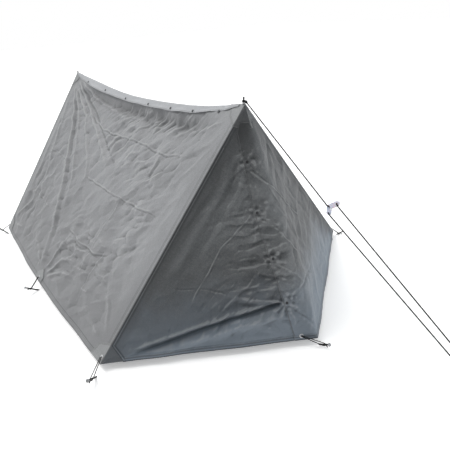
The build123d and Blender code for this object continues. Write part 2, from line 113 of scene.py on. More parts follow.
def noise(x, y, size, seed=1):
    """Smooth noise from -1 to 1 with cells of that size."""
    x, y = x / size, y / size
    ix, iy = np.floor(x), np.floor(y)
    fx, fy = x - ix, y - iy
    out = 0
    sx, sy = fx ** 3 * (fx * (fx * 6 - 15) + 10), fy ** 3 * (fy * (fy * 6 - 15) + 10)
    g = []
    for dx, dy in ((0, 0), (1, 0), (0, 1), (1, 1)):
        a = 2 * math.pi * hash2(ix + dx, iy + dy, seed)
        g.append(np.cos(a) * (fx - dx) + np.sin(a) * (fy - dy))
    out = (g[0] * (1 - sx) + g[1] * sx) * (1 - sy) + (g[2] * (1 - sx) + g[3] * sx) * sy
    return out * 1.5


def facets(x, y, size, seed=1):
    """Dished patches that meet in straight ridges, from 0 in the middle of a patch."""
    x, y = x / size, y / size
    ix, iy = np.floor(x), np.floor(y)
    best = np.full(x.shape, 9.0)
    for dx in (-1, 0, 1):
        for dy in (-1, 0, 1):
            px = ix + dx + 0.1 + 0.8 * hash2(ix + dx, iy + dy, seed)
            py = iy + dy + 0.1 + 0.8 * hash2(ix + dx, iy + dy, seed + 101)
            best = np.minimum(best, (x - px) ** 2 + (y - py) ** 2)
    return best


def crumple(x, y, size, seed=1, lean=0.6, pull=1.7):
    """Faceted creasing: sharp straight ridges between flatter patches, drawn out along one direction."""
    ca, sa = math.cos(lean), math.sin(lean)
    wx = x + 0.30 * size * noise(x, y, size * 1.7, seed + 11)
    wy = y + 0.30 * size * noise(x, y, size * 1.7, seed + 23)
    a, b = (wx * ca + wy * sa) / pull, wy * ca - wx * sa
    big = facets(a, b, size * 1.7, seed) - 0.32
    mid = 0.32 - facets(a * 1.1 + 3.1, b * 1.1, size * 1.05, seed + 7)
    small = facets(a - 1.3, b + 0.7, size * 0.60, seed + 13) - 0.32
    mix = np.clip(0.5 + 0.8 * noise(x, y, size * 2.6, seed + 31), 0, 1)
    part = np.clip(0.5 + 1.1 * noise(x + 1.7, y, size * 3.1, seed + 37), 0, 1)
    return 4.6 * big * mix + 2.9 * mid * (1 - mix) + 0.95 * small * part


def near_line(X, Y, pts):
    """Signed distance to a polyline, and how far along it the nearest point is, from 0 to 1."""
    pts = np.array(pts, float)
    seg = np.linalg.norm(np.diff(pts, axis=0), axis=1)
    total = seg.sum()
    best = np.full(X.shape, 1e9)
    side = np.ones(X.shape)
    along = np.zeros(X.shape)
    done = 0.0
    for (x0, y0), (x1, y1), L in zip(pts[:-1], pts[1:], seg):
        dx, dy = (x1 - x0) / L, (y1 - y0) / L
        t = np.clip((X - x0) * dx + (Y - y0) * dy, 0, L)
        ex, ey = X - x0 - t * dx, Y - y0 - t * dy
        d = np.hypot(ex, ey)
        hit = d < best
        best = np.where(hit, d, best)
        side = np.where(hit, np.sign(dx * ey - dy * ex), side)
        along = np.where(hit, (done + t) / total, along)
        done += L
    return best * np.where(side == 0, 1, side), along, total


def fold(X, Y, pts, amp, w0, w1=None, kind="ridge", head=0.12, tail=0.35, wob=0.0, seed=3):
    """Height of one fold in the cloth along a polyline."""
    w1 = w0 if w1 is None else w1
    if wob:
        n = noise(X, Y, 0.09, seed) * wob
        m = noise(X + 3.3, Y - 1.7, 0.09, seed + 1) * wob
    else:
        n = m = 0.0
    d, s, _ = near_line(X + n, Y + m, pts)
    w = w0 + (w1 - w0) * s
    ends = smooth(0, head, s) * smooth(0, tail, 1 - s)
    if kind == "ridge":
        h = np.exp(-(d / w) ** 2)
    elif kind == "crease":
        h = np.exp(-np.abs(d) / w)
    elif kind == "step":           # sharp on its right, falling away slowly on its left
        h = np.where(d > 0, np.exp(-d / (3.2 * w)), np.exp(-(d / (0.55 * w)) ** 2))
    elif kind == "pair":           # a sharp valley with a rise beside it
        h = np.exp(-((d - w) / w) ** 2) - np.exp(-(d / (0.7 * w)) ** 2)
    return amp * h * ends


# --------------------------------------------------------------------------
# Meshes
# --------------------------------------------------------------------------
def smooth_normals(G):
    du = np.gradient(G, axis=1)
    dv = np.gradient(G, axis=0)
    n = np.cross(du, dv)
    return n / np.maximum(np.linalg.norm(n, axis=2, keepdims=True), 1e-12)


def cloth_mesh(name, G, out, uv=None, edge=None, thick=CLOTH, painted_shade=None, closed=False, hub=False):
    """Closed sheet from a grid of points. out is a rough outward direction; uv and edge are in metres."""
    n = smooth_normals(G)
    if closed:
        n = smooth_normals(np.concatenate([G[:, -2:-1], G, G[:, 1:2]], axis=1))[:, 1:-1]
    if hub:
        n[0] = unit(n[1].mean(axis=0))
    ref = np.asarray(out, float)
    if ref.ndim == 1:
        flip = float((n.reshape(-1, 3) @ ref).sum()) < 0
    else:
        flip = float((n * ref).sum()) < 0
    if flip:
        n = -n
    rows, cols = G.shape[:2]
    top = G.reshape(-1, 3)
    low = (G - n * thick).reshape(-1, 3)
    k = rows * cols
    idx = np.arange(k).reshape(rows, cols)
    a, b, c, d = idx[:-1, :-1].ravel(), idx[:-1, 1:].ravel(), idx[1:, 1:].ravel(), idx[1:, :-1].ravel()
    q = np.stack([a, b, c, d], 1)
    if flip:
        q = q[:, ::-1]
    faces = [q, q[:, ::-1] + k]
    rings = [(idx[-1, :], True)] if hub and closed else [(idx[0, :], False), (idx[-1, :], True)]
    if not closed:
        rings += [(idx[:, 0], True), (idx[:, -1], False)]
    for line, back in rings:
        s, t = line[:-1], line[1:]
        r = np.stack([s, s + k, t + k, t], 1)
        if back != flip:
            r = r[:, ::-1]
        faces.append(r)
    faces = np.concatenate(faces)
    me = bpy.data.meshes.new(name)
    pts = np.concatenate([top, low])
    me.vertices.add(len(pts))
    me.vertices.foreach_set("co", pts.astype(np.float32).ravel())
    me.loops.add(len(faces) * 4)
    me.loops.foreach_set("vertex_index", faces.astype(np.int32).ravel())
    me.polygons.add(len(faces))
    me.polygons.foreach_set("loop_start", (np.arange(len(faces)) * 4).astype(np.int32))
    me.polygons.foreach_set("loop_total", np.full(len(faces), 4, np.int32))
    me.update(calc_edges=True)
    me.polygons.foreach_set("use_smooth", np.ones(len(me.polygons), bool))
    if uv is None:
        co = np.array([v.co for v in me.vertices], float)
        uvs = np.stack([co[:, 1], co[:, 0] * 0.7 + co[:, 2]], 1)
    else:
        uvs = np.concatenate([uv.reshape(-1, 2)] * 2)
    layer = me.uv_layers.new(name="UVMap")
    lv = np.zeros(len(me.loops), np.int32)
    me.loops.foreach_get("vertex_index", lv)
    layer.data.foreach_set("uv", uvs[lv].astype(np.float32).ravel())
    for key, val, zero in (("edge", edge, 1.0), ("painted_shade", painted_shade, 0.0)):
        at = me.attributes.new(key, "FLOAT", "POINT")
        if val is None:
            at.data.foreach_set("value", np.full(len(me.vertices), zero, np.float32))
        else:
            at.data.foreach_set("value", np.concatenate([val.ravel()] * 2).astype(np.float32))
    if hub:
        bm = bmesh.new()
        bm.from_mesh(me)
        bmesh.ops.remove_doubles(bm, verts=bm.verts, dist=2e-6)
        bmesh.ops.recalc_face_normals(bm, faces=bm.faces)
        bm.to_mesh(me)
        bm.free()
        me.polygons.foreach_set("use_smooth", np.ones(len(me.polygons), bool))
    me.validate()
    ob = bpy.data.objects.new(name, me)
    bpy.context.scene.collection.objects.link(ob)
    return ob


def turned(G):
    return G * V(-1, -1, 1)


ROOF_STEP, DOOR_STEP = 0.0058, 0.0050


def steps(length, fine, step):
    """Distances from 0 to length: the fine list at both ends, and even steps between."""
    k = min(1.0, 0.42 * length / max(fine))
    f = [x * k for x in fine]
    n = max(2, int(round((length - 2 * f[-1]) / step)))
    mid = np.linspace(f[-1], length - f[-1], n + 1)[1:-1]
    return np.concatenate([f, mid, [length - x for x in reversed(f)]])


# --------------------------------------------------------------------------
# Roof halves
# --------------------------------------------------------------------------
def ridge_z(y):
    y = np.asarray(y, float)
    # a smooth curve through the sag profile
    xs, ds = SAG[:, 0], SAG[:, 1]
    z = 0
    for o in (-0.05, -0.025, 0.0, 0.025, 0.05):
        z = z + np.interp(np.clip(y + o * (1 - np.abs(y) / HR), -HR, HR), xs, ds)
    return PEAK_Z - z / 5


def roof_base(y, v, side):
    u = (y + HR) / (2 * HR)
    top = np.stack([0 * y, y, ridge_z(y)], -1)
    bx = side * (HW + BULGE * np.sin(math.pi * u))
    base = np.stack([bx, (2 * u - 1) * HB, HEM_Z + 0 * y], -1)
    return top + (base - top) * v[..., None]


SLOPE = 1.43


def metric(y, v):
    return y * (1 - v * (1 - HB / HR)), v * SLOPE


def line_of(pts):
    return [metric(a, b) for a, b in pts]


def roof_relief(y, v, side):
    """Height of the cloth over its plain ruled surface."""
    X, S = metric(y, v)
    if side > 0:
        X = -X            # the far half is worn the same way about the middle, with its own noise
    sd = 40 if side < 0 else 140
    u = (y + HR) / (2 * HR)
    h = -0.016 * np.sin(math.pi * v) ** 0.8 * np.sin(math.pi * u) ** 0.7
    # hollow under the slack ridge, and the crumples it gathers
    mid = smooth(-0.98, -0.60, X) * smooth(-0.95, -0.55, -X)
    wave = 1 + 0.35 * noise(X, S, 0.16, sd + 1)
    h = h - 0.026 * mid * wave * np.exp(-((S - 0.112) / 0.050) ** 2)
    h = h - 0.008 * mid * np.exp(-((S - 0.21) / 0.10) ** 2)
    zone = np.exp(-((S - 0.13) / 0.085) ** 2) * np.exp(-((X + 0.35) / 0.55) ** 4)
    h = h + 0.0120 * zone * crumple(X, S, 0.042, sd + 2, 0.75, 2.2)
    zone = np.exp(-((X + 0.50) / 0.27) ** 2 - ((S - 0.42) / 0.17) ** 2)
    h = h + 0.0125 * zone * crumple(X, S, 0.055, sd + 3, 0.75, 2.3)
    zone = np.exp(-((X + 0.05) / 0.30) ** 2 - ((S - 0.33) / 0.15) ** 2)
    h = h + 0.0105 * zone * crumple(X, S, 0.060, sd + 4, 0.9, 2.3)
    zone = np.exp(-((X + 0.30) / 0.38) ** 2 - ((S - 1.08) / 0.16) ** 2)
    h = h + 0.0110 * zone * crumple(X, S, 0.055, sd + 6, 0.2, 2.2)
    zone = np.exp(-((X + 0.62) / 0.22) ** 2 - ((S - 0.75) / 0.25) ** 2)
    h = h + 0.0090 * zone * crumple(X, S, 0.055, sd + 7, 0.6, 2.2)
    zone = np.exp(-((X - 0.72) / 0.25) ** 2 - ((S - 0.95) / 0.35) ** 2)
    h = h + 0.0070 * zone * crumple(X, S, 0.070, sd + 8, 1.5, 1.8)
    h = h + 0.0052 * crumple(X, S, 0.075, sd + 9, 0.7, 1.6) * smooth(0.02, 0.15, S)
    h = h + 0.0016 * crumple(X, S, 0.036, sd + 15, 0.3, 2.4) * smooth(0.02, 0.15, S) * (0.6 + 0.6 * noise(X, S, 0.3, sd + 16))
    h = h + 0.0040 * noise(X, S, 0.24, sd + 10)
    # the long tension fold from the rear peak to the middle peg, and the fan beside it
    L = line_of
    h = h + fold(X, S, L([(1.055, 0.02), (0.824, 0.203), (0.545, 0.457), (0.318, 0.669), (0.143, 0.85), (0.02, 0.985)]),
                 0.0120, 0.012, 0.032, head=0.10, tail=0.08)
    h = h - fold(X, S, L([(1.035, 0.05), (0.760, 0.23), (0.470, 0.49), (0.250, 0.70), (0.10, 0.87), (0.0, 0.975)]),
                 0.0070, 0.014, 0.030, head=0.12, tail=0.12)
    h = h + fold(X, S, L([(0.99, 0.05), (0.68, 0.24), (0.37, 0.49), (0.13, 0.74)]), 0.0085, 0.010, 0.022)
    h = h + fold(X, S, L([(1.0, 0.03), (0.548, 0.168), (0.112, 0.309), (-0.221, 0.436)]), 0.0095, 0.008, 0.018,
                 wob=0.006)
    h = h + fold(X, S, L([(0.95, 0.045), (0.42, 0.175), (-0.039, 0.318), (-0.30, 0.40)]), -0.0085, 0.008, 0.018,
                 wob=0.005)
    h = h + fold(X, S, L([(0.96, 0.06), (0.60, 0.20), (0.24, 0.40), (0.02, 0.56)]), 0.0085, 0.008, 0.020, wob=0.008)
    h = h + fold(X, S, L([(0.93, 0.03), (0.60, 0.085), (0.25, 0.10), (-0.10, 0.12)]), 0.0080, 0.008, 0.018, wob=0.008)
    h = h + fold(X, S, L([(1.03, 0.12), (0.90, 0.40), (0.70, 0.75)]), 0.0075, 0.012, 0.026)
    h = h + fold(X, S, L([(1.01, 0.16), (0.97, 0.50), (0.94, 0.88)]), 0.0060, 0.012, 0.026)
    # folds from the middle peg, the corners and the front peak
    for pts, a in (([(-0.02, 0.975), (-0.16, 0.84), (-0.40, 0.72)], 0.0055),
                   ([(-0.03, 0.98), (-0.24, 0.88), (-0.52, 0.83)], 0.0048),
                   ([(0.04, 0.975), (0.22, 0.90), (0.50, 0.85)], 0.0045),
                   ([(0.0, 0.97), (-0.04, 0.80), (-0.10, 0.62)], 0.0040),
                   ([(-1.03, 0.93), (-0.90, 0.84), (-0.72, 0.74)], 0.0050),
                   ([(-1.02, 0.95), (-0.85, 0.92), (-0.62, 0.90)], 0.0040),
                   ([(1.03, 0.93), (0.88, 0.82), (0.70, 0.70)], 0.0050),
                   ([(1.02, 0.95), (0.84, 0.92), (0.60, 0.90)], 0.0040)):
        h = h + fold(X, S, L(pts), a * 1.7, 0.010, 0.024, head=0.15, tail=0.5, wob=0.008)
    for pts, a in (([(-1.055, 0.07), (-0.96, 0.15), (-0.78, 0.23)], 0.0045),
                   ([(-1.05, 0.10), (-0.94, 0.24), (-0.80, 0.36)], 0.0040),
                   ([(-1.04, 0.05), (-0.88, 0.09), (-0.66, 0.12)], 0.0045),
                   ([(-1.05, 0.12), (-0.98, 0.36), (-0.92, 0.60)], 0.0030)):
        h = h + fold(X, S, L(pts), a * 1.7, 0.008, 0.018, head=0.18, tail=0.5, wob=0.006)
    # where it was folded for packing
    for pts, a in (([(0.56, 0.165), (0.40, 0.200), (0.244, 0.215), (0.0, 0.212), (-0.27, 0.206), (-0.606, 0.223),
                     (-0.893, 0.209)], 0.0050),
                   ([(0.16, 0.455), (0.077, 0.462), (-0.382, 0.460), (-0.655, 0.462), (-0.90, 0.452)], 0.0048),
                   ([(0.0, 0.712), (-0.264, 0.726), (-0.482, 0.718), (-0.640, 0.672)], 0.0044),
                   ([(0.90, 0.462), (0.70, 0.455), (0.52, 0.46)], 0.0022),
                   ([(0.88, 0.715), (0.62, 0.712), (0.40, 0.715)], 0.0022)):
        h = h + fold(X, S, L(pts), a * 1.0, 0.0066, kind="pair", head=0.08, tail=0.15, wob=0.009, seed=sd) * (
            0.85 + 0.5 * noise(X, S, 0.07, sd + 17))
    for pts, a in (([(0.30, 0.10), (0.28, 0.30), (0.27, 0.52)], 0.0016),
                   ([(-0.42, 0.42), (-0.40, 0.62), (-0.41, 0.90)], 0.0024),
                   ([(-0.55, 0.66), (-0.52, 0.80), (-0.56, 0.93)], 0.0026)):
        h = h + fold(X, S, L(pts), a * 0.8, 0.0062, kind="pair", head=0.2, tail=0.3, wob=0.010, seed=sd + 2)
    # calm beside the hips, where it is drawn tight, and flat under the patches and caps
    hip = (HR - np.abs(y)) * (1 - v * (1 - HB / HR))
    calm = smooth(0.0, 0.16, hip)
    front = smooth(0.0, 0.28, (y + HR) * (1 - v * (1 - HB / HR)))
    h = h * (0.15 + 0.85 * calm) * (0.35 + 0.65 * front)
    # a soft roll along each hip
    h = h + 0.0042 * np.exp(-((hip - 0.085) / 0.055) ** 2) * smooth(0.05, 0.2, v)
    h = h * smooth(0.002, 0.035, hip)
    near = np.minimum(np.hypot(np.abs(y) - HR, v * SLOPE), 9)
    h = h * smooth(0.10, 0.17, near)
    near = np.hypot(np.abs(X) - HB, SLOPE - S)
    h = h * smooth(0.12, 0.20, near)
    near = np.hypot(X * 0.75, SLOPE - S)
    h = h * smooth(0.075, 0.14, near)
    h = h * smooth(0.0, 0.05, S)
    # hem: a gentle wave, a turned band and its stitching
    low = SLOPE - S
    h = h * (0.25 + 0.75 * smooth(0.0, 0.10, low))
    h = h + 0.0035 * np.sin(X * 11.0 + side) * np.exp(-(low / 0.10) ** 2) * smooth(0.10, 0.25, HB - np.abs(X)) \
        * smooth(0.07, 0.2, np.abs(X))
    band = 0.0011 * (1 - smooth(0.0235, 0.0265, low)) * smooth(0.008, 0.012, hip)
    dip = -0.0007 * np.exp(-((low - 0.0285) / 0.0035) ** 2)
    seam = 0.0013 * (1 - smooth(0.0115, 0.0145, hip)) - 0.0006 * np.exp(-((hip - 0.0165) / 0.003) ** 2)
    h = h + band + dip + seam * smooth(0.02, 0.05, v)
    return h


EDGE_FINE = [0.0, 0.0015, 0.003, 0.006, 0.009, 0.0115, 0.0130, 0.0145, 0.0165, 0.020, 0.0235, 0.0250, 0.0265, 0.0290,
             0.034, 0.040]


def roof(side, name):
    s_rows = steps(SLOPE, EDGE_FINE, ROOF_STEP)
    v = s_rows / SLOPE
    ycol = steps(2 * HR, EDGE_FINE, ROOF_STEP) - HR
    Y, Vv = np.meshgrid(ycol, v)
    G = roof_base(Y, Vv, side)
    n = smooth_normals(G)
    if n[..., 2].mean() < 0:
        n = -n
    G = G + n * roof_relief(Y, Vv, side)[..., None]
    # a return that tucks in behind the door panels at each hip
    caps = []
    for e, flat in ((0, -1), (-1, 1)):
        hip = G[:, e].copy()
        pk, cn = V(0, flat * HR, PEAK_Z), V(side * HW, flat * HB, HEM_Z)
        ap = V(0, flat * (HB + REACH), HEM_Z)
        d = unit(cn - pk)
        inw = unit((ap - pk) - d * float((ap - pk) @ d))
        nf = unit(np.cross(d, inw))
        nf = nf if nf[1] * flat > 0 else -nf
        k = smooth(0.0, 0.05, v)[:, None] * smooth(0.0, 0.02, 1 - v)[:, None]
        cols = [hip + (inw * a - nf * b) * k for a, b in ((0.0016, 0.0006), (0.0040, 0.0026), (0.0090, 0.0036),
                                                         (0.0150, 0.0040))]
        caps.append(np.stack(cols[::-1] if e == 0 else cols, 1))
    G = np.concatenate([caps[0], G, caps[1]], 1)
    X, S = metric(Y, Vv)
    hipd = (HR - np.abs(Y)) * (1 - Vv * (1 - HB / HR))
    edge = np.minimum(SLOPE - S, hipd + 0.0)
    pad = np.full((len(v), 4), 0.0)
    edge = np.concatenate([pad, edge, pad], 1)
    uv = np.stack([X, S], -1)
    uv = np.concatenate([np.repeat(uv[:, :1], 4, 1) + np.stack([-np.array([0.015, 0.009, 0.004, 0.0016]),
                                                                 np.zeros(4)], -1)[None],
                         uv,
                         np.repeat(uv[:, -1:], 4, 1) + np.stack([np.array([0.0016, 0.004, 0.009, 0.015]),
                                                                  np.zeros(4)], -1)[None]], 1)
    mid = smooth(-0.98, -0.70, X * -side) * smooth(-0.95, -0.55, X * side)
    # painted shade along the hollow under the ridge lap, carried in the cloth's shade attribute
    under_lap_painted_shade = 0.30 * mid * np.exp(-((S - 0.095) / 0.050) ** 2)
    ob = cloth_mesh(name, G, (side, 0, 1), uv, edge, painted_shade=np.concatenate([under_lap_painted_shade[:, :1]] * 4 + [under_lap_painted_shade] + [under_lap_painted_shade[:, -1:]] * 4, 1))
    return ob, G


# --------------------------------------------------------------------------
# Door flaps: everything is worked out on the door laid flat, with the middle
# fold as its second axis and the distance across as its first
# --------------------------------------------------------------------------
def flat_door(p):
    q = p - F
    a = q @ DOOR
    c = np.linalg.norm(q - a[..., None] * DOOR, axis=-1)
    return c * np.where(p[..., 0] < 0, -1, 1), a


def on_left(x, z):
    y = (float(N_L @ F) - N_L[0] * x - N_L[2] * z) / N_L[1]
    return np.stack([np.asarray(x, float) + 0 * y, y, np.asarray(z, float) + 0 * y], -1)


def on_right(x, z):
    return on_left(-np.asarray(x, float), z) * V(-1, 1, 1)


def door_line(pts):
    """(x, height) on the door to flat coordinates."""
    out = []
    for x, z in pts:
        p = on_left(x, z) if x < 0 else on_right(x, z)
        c, a = flat_door(p)
        out.append((float(c), float(a)))
    return out


SNAP_FLAT = door_line(SNAPS)
EYE_FLAT = door_line([(-0.066, 0.057)])[0]
DOOR_LEN = float(np.linalg.norm(P - F))


def door_relief(C, Al, hip, low, sd):
    D = door_line
    wide = np.abs(C)
    h = -0.010 * smooth(0.02, 0.30, wide) * smooth(0.0, 0.25, hip) * np.sin(math.pi * np.clip(Al / DOOR_LEN, 0, 1))
    h = h + 0.0040 * crumple(C, Al, 0.080, sd, -0.9, 1.8) + 0.0036 * noise(C, Al, 0.20, sd + 1)
    zone = np.exp(-((C + 0.16) / 0.16) ** 2 - ((Al - 0.72) / 0.30) ** 2)
    h = h + 0.0110 * zone * crumple(C, Al, 0.045, sd + 2, 0.15, 3.0)
    zone = np.exp(-((C + 0.36) / 0.20) ** 2 - ((Al - 0.90) / 0.14) ** 2)
    h = h + 0.0090 * zone * crumple(C, Al, 0.045, sd + 3, -0.5, 3.0)
    zone = np.exp(-((C - 0.14) / 0.16) ** 2 - ((Al - 0.62) / 0.34) ** 2)
    h = h + 0.0044 * zone * crumple(C, Al, 0.055, sd + 4, 0.9, 2.4)
    zone = np.exp(-((C + 0.08) / 0.07) ** 2 - ((Al - 0.62) / 0.40) ** 2)
    h = h + 0.0060 * zone * crumple(C, Al, 0.036, sd + 5, 0.25, 2.8)
    h = h + 0.0010 * crumple(C, Al, 0.034, sd + 6, -0.4, 2.6)
    # long soft folds that run down beside the hip from the peak
    for pts, a, w in (([(-0.110, 0.93), (-0.20, 0.78), (-0.42, 0.55), (-0.60, 0.36)], 0.0080, 0.024),
                      ([(-0.085, 0.93), (-0.16, 0.80), (-0.34, 0.60), (-0.54, 0.36)], -0.0075, 0.022),
                      ([(-0.08, 0.86), (-0.15, 0.75), (-0.28, 0.60), (-0.45, 0.40)], 0.0055, 0.018),
                      ([(-0.22, 0.80), (-0.40, 0.62), (-0.62, 0.40), (-0.76, 0.24)], -0.0045, 0.022)):
        h = h + fold(C, Al, D(pts), a * 1.35, w * 0.55, w * 1.2, head=0.12, tail=0.35, wob=0.007, seed=sd)
    # folds and creases drawn out of each snap
    for pts, a, w, kind in (
            ([(-0.072, 0.875), (-0.186, 0.788), (-0.317, 0.683), (-0.41, 0.589)], -0.0042, 0.012, "ridge"),
            ([(-0.096, 0.660), (-0.19, 0.582), (-0.277, 0.507), (-0.353, 0.406), (-0.41, 0.341), (-0.519, 0.198)],
             0.0062, 0.0090, "pair"),
            ([(-0.094, 0.439), (-0.176, 0.405), (-0.244, 0.440)], -0.0050, 0.010, "ridge"),
            ([(-0.092, 0.450), (-0.20, 0.455), (-0.30, 0.43)], 0.0042, 0.010, "ridge"),
            ([(-0.415, 0.339), (-0.333, 0.314), (-0.300, 0.285)], 0.0048, 0.0085, "pair"),
            ([(-0.519, 0.36), (-0.46, 0.345), (-0.415, 0.341)], 0.0036, 0.0085, "pair"),
            ([(-0.160, 0.375), (-0.125, 0.36), (-0.065, 0.325)], -0.0060, 0.010, "ridge"),
            ([(-0.075, 0.876), (-0.005, 0.800), (0.087, 0.705), (0.279, 0.497), (0.447, 0.299)], 0.0082, 0.0115,
             "pair"),
            ([(-0.07, 0.87), (0.03, 0.72), (0.10, 0.56), (0.14, 0.44)], 0.0034, 0.010, "ridge"),
            ([(-0.090, 0.65), (-0.004, 0.560), (0.07, 0.45), (0.16, 0.34)], 0.0060, 0.0100, "pair"),
            ([(-0.085, 0.43), (0.00, 0.36), (0.07, 0.26)], 0.0040, 0.010, "ridge"),
            ([(-0.085, 0.240), (0.00, 0.275), (0.14, 0.270), (0.285, 0.225)], -0.0068, 0.012, "ridge"),
            ([(-0.080, 0.215), (-0.02, 0.15), (0.03, 0.06)], -0.0044, 0.009, "ridge"),
            ([(-0.085, 0.210), (-0.07, 0.15), (-0.08, 0.09)], 0.0036, 0.008, "ridge"),
            ([(0.10, 0.95), (0.20, 0.80), (0.34, 0.60)], 0.0035, 0.014, "ridge"),
            ([(0.20, 0.72), (0.40, 0.46), (0.58, 0.25)], -0.0035, 0.016, "ridge"),
            ([(0.62, 0.075), (0.40, 0.13), (0.18, 0.21)], 0.0040, 0.016, "ridge")):
        a, w = (a * 0.50, 0.0054) if kind == "pair" else (a * 0.95, w * 0.75)
        h = h + fold(C, Al, D(pts), a, w, w * 1.3, kind=kind, head=0.06, tail=0.35, wob=0.007, seed=sd + 6) * (
            0.8 + 0.6 * noise(C, Al, 0.06, sd + 19))
    # the hard pull from the front corner to the lowest snap, with the skirt kicked out under it
    low_fold = D([(-0.093, 0.224), (-0.235, 0.194), (-0.387, 0.161), (-0.464, 0.145), (-0.651, 0.096), (-0.800, 0.060)])
    h = h - fold(C, Al, low_fold, 0.0220, 0.010, 0.014, head=0.03, tail=0.12)
    up = [(c + 0.004, a - 0.030) for c, a in low_fold]
    h = h + fold(C, Al, up, 0.0120, 0.014, 0.018, head=0.08, tail=0.25)
    dn = [(c - 0.004, a + 0.042) for c, a in low_fold]
    h = h + fold(C, Al, dn, 0.0130, 0.020, 0.026, head=0.10, tail=0.20)
    h = h - fold(C, Al, D([(-0.097, 0.230), (-0.225, 0.232), (-0.337, 0.262)]), 0.0080, 0.010, 0.016, head=0.06,
                 tail=0.4)
    h = h + fold(C, Al, D([(-0.095, 0.236), (-0.22, 0.258), (-0.33, 0.30)]), 0.0050, 0.010, 0.014, head=0.08, tail=0.4)
    # small puckers round each snap, flat right at the snap itself
    for i, (c, a) in enumerate(SNAP_FLAT):
        r = np.hypot(C - c, Al - a)
        t = np.arctan2(Al - a, C - c)
        k = 0.0030 * np.exp(-((r - 0.030) / 0.022) ** 2)
        h = h + k * (np.sin(t * 3 + i * 1.7) + 0.7 * np.sin(t * 5 - i) + 0.6 * noise(C * 1.0, Al, 0.018, sd + 30 + i))
        h = h + 0.006 * np.exp(-(r / 0.055) ** 2) * noise(C, Al, 0.024, sd + 50 + i)
    c, a = SNAP_FLAT[3]
    r, t = np.hypot(C - c, Al - a), np.arctan2(Al - a, C - c)
    h = h + 0.0046 * np.exp(-((r - 0.050) / 0.038) ** 2) * np.sin(9 * t + 0.8 + 0.9 * np.sin(2 * t)) * smooth(
        0.012, 0.03, r) * (0.30 + 0.70 * np.clip(np.cos(t - 2.6), 0, 1))
    for c, a in SNAP_FLAT:
        h = h * smooth(0.009, 0.022, np.hypot(C - c, Al - a))
    h = h * smooth(0.013, 0.035, np.hypot(C - EYE_FLAT[0], Al - EYE_FLAT[1]))
    # tight along the hip, flat where the peak hood and corner patches are
    h = h * smooth(0.004, 0.060, hip)
    h = h * smooth(0.10, 0.20, Al)
    h = h * (0.30 + 0.70 * smooth(0.0, 0.08, low))
    h = h + 0.0030 * np.sin(C * 13.0 + 0.6) * np.exp(-(low / 0.07) ** 2) * smooth(0.04, 0.15, np.abs(C)) \
        * smooth(0.14, 0.30, hip)
    band = 0.0011 * (1 - smooth(0.0235, 0.0265, low))
    dip = -0.0007 * np.exp(-((low - 0.0285) / 0.0035) ** 2)
    seam = 0.0012 * (1 - smooth(0.0115, 0.0145, hip)) - 0.0010 * np.exp(-((hip - 0.0175) / 0.004) ** 2)
    return h + band + dip + seam * smooth(0.10, 0.16, Al)


def round_off(C, Al):
    """How far the middle fold's edge is rounded inwards."""
    r = np.minimum(0.085, np.minimum(0.02 + 0.14 * Al, 0.006 + 0.40 * np.clip(DOOR_LEN - Al, 0, 9)))
    x = np.clip(r - np.abs(C), 0, None)
    half = math.acos(float(N_L @ N_R)) / 2
    return -(x * x) / (2 * r) * math.sin(half)


EDGE_Z = np.array([1.060, 1.025, 0.891, 0.662, 0.444, 0.227, 0.035])
CAP_X = np.array([-0.030, -0.050, -0.063, -0.087, -0.082, -0.083, -0.085])
CUT_Z = 1.060
CORNER_CUT = 0.112


def outline(corner, z):
    """The hip side of a flap at each height: along the hip, then cut across the corner."""
    s = (PEAK_Z - z) / (PEAK_Z - HEM_Z)
    L = float(np.linalg.norm(corner - F))
    hip = F + (corner - F) * s[:, None]
    on_hip, on_hem = F + (corner - F) * (1 - CORNER_CUT / L), corner + unit(P - corner) * CORNER_CUT
    t = np.clip((on_hip[2] - z) / (on_hip[2] - on_hem[2]), 0, 1)[:, None]
    cut = on_hip + (on_hem - on_hip) * t
    out = np.where(t > 0, cut, hip)
    # a hair off the hip line itself, so that the two panels meet without crossing
    d = unit(corner - F)
    inw = unit((P - F) - d * float((P - F) @ d))
    return out + inw * 0.0022 * (1 - t)


def door_rows():
    run = DOOR_LEN * (CUT_Z - HEM_Z) / (PEAK_Z - HEM_Z)
    return PEAK_Z - (PEAK_Z - CUT_Z) - steps(run, EDGE_FINE, DOOR_STEP) / run * (CUT_Z - HEM_Z)


def flap_inner(sd):
    z = door_rows()
    x_free = np.interp(-z, -EDGE_Z, CAP_X + 0.015)
    left, right = outline(A, z), on_left(x_free, z)
    G = []
    widest = float(np.linalg.norm(right - left, axis=1).max())
    base = steps(widest, EDGE_FINE, DOOR_STEP)
    for a, b in zip(left, right):
        w = float(np.linalg.norm(b - a))
        f = steps(w, EDGE_FINE, DOOR_STEP)
        t = np.interp(np.linspace(0, 1, len(base)), np.linspace(0, 1, len(f)), f) / w
        k = len(EDGE_FINE)
        if w > 3 * EDGE_FINE[-1]:
            mid = np.linspace(EDGE_FINE[-1], w - EDGE_FINE[-1], len(base) - 2 * k + 2)[1:-1]
            t = np.concatenate([EDGE_FINE, mid, w - np.array(EDGE_FINE[::-1])]) / w
        G.append(a + (b - a) * t[:, None])
    G = np.array(G)
    C, Al = flat_door(G)
    hip = np.linalg.norm(G - left[:, None], axis=2)
    hip = np.minimum(hip, np.linalg.norm(np.cross(G - F, unit(A - F)), axis=2))
    low = (G[..., 2] - HEM_Z) * DOOR_LEN / (PEAK_Z - HEM_Z)
    h = door_relief(C, Al, hip, low, sd)
    free = np.linalg.norm(G - right[:, None], axis=2)
    under = 1 - smooth(0.028, 0.075, free)
    h = h - 0.0034 * under
    G = G + N_L * h[..., None] + unit(N_L + N_R) * round_off(C, Al)[..., None]
    return G, np.stack([C, Al], -1), np.minimum(np.minimum(hip, low), free + 0.016)


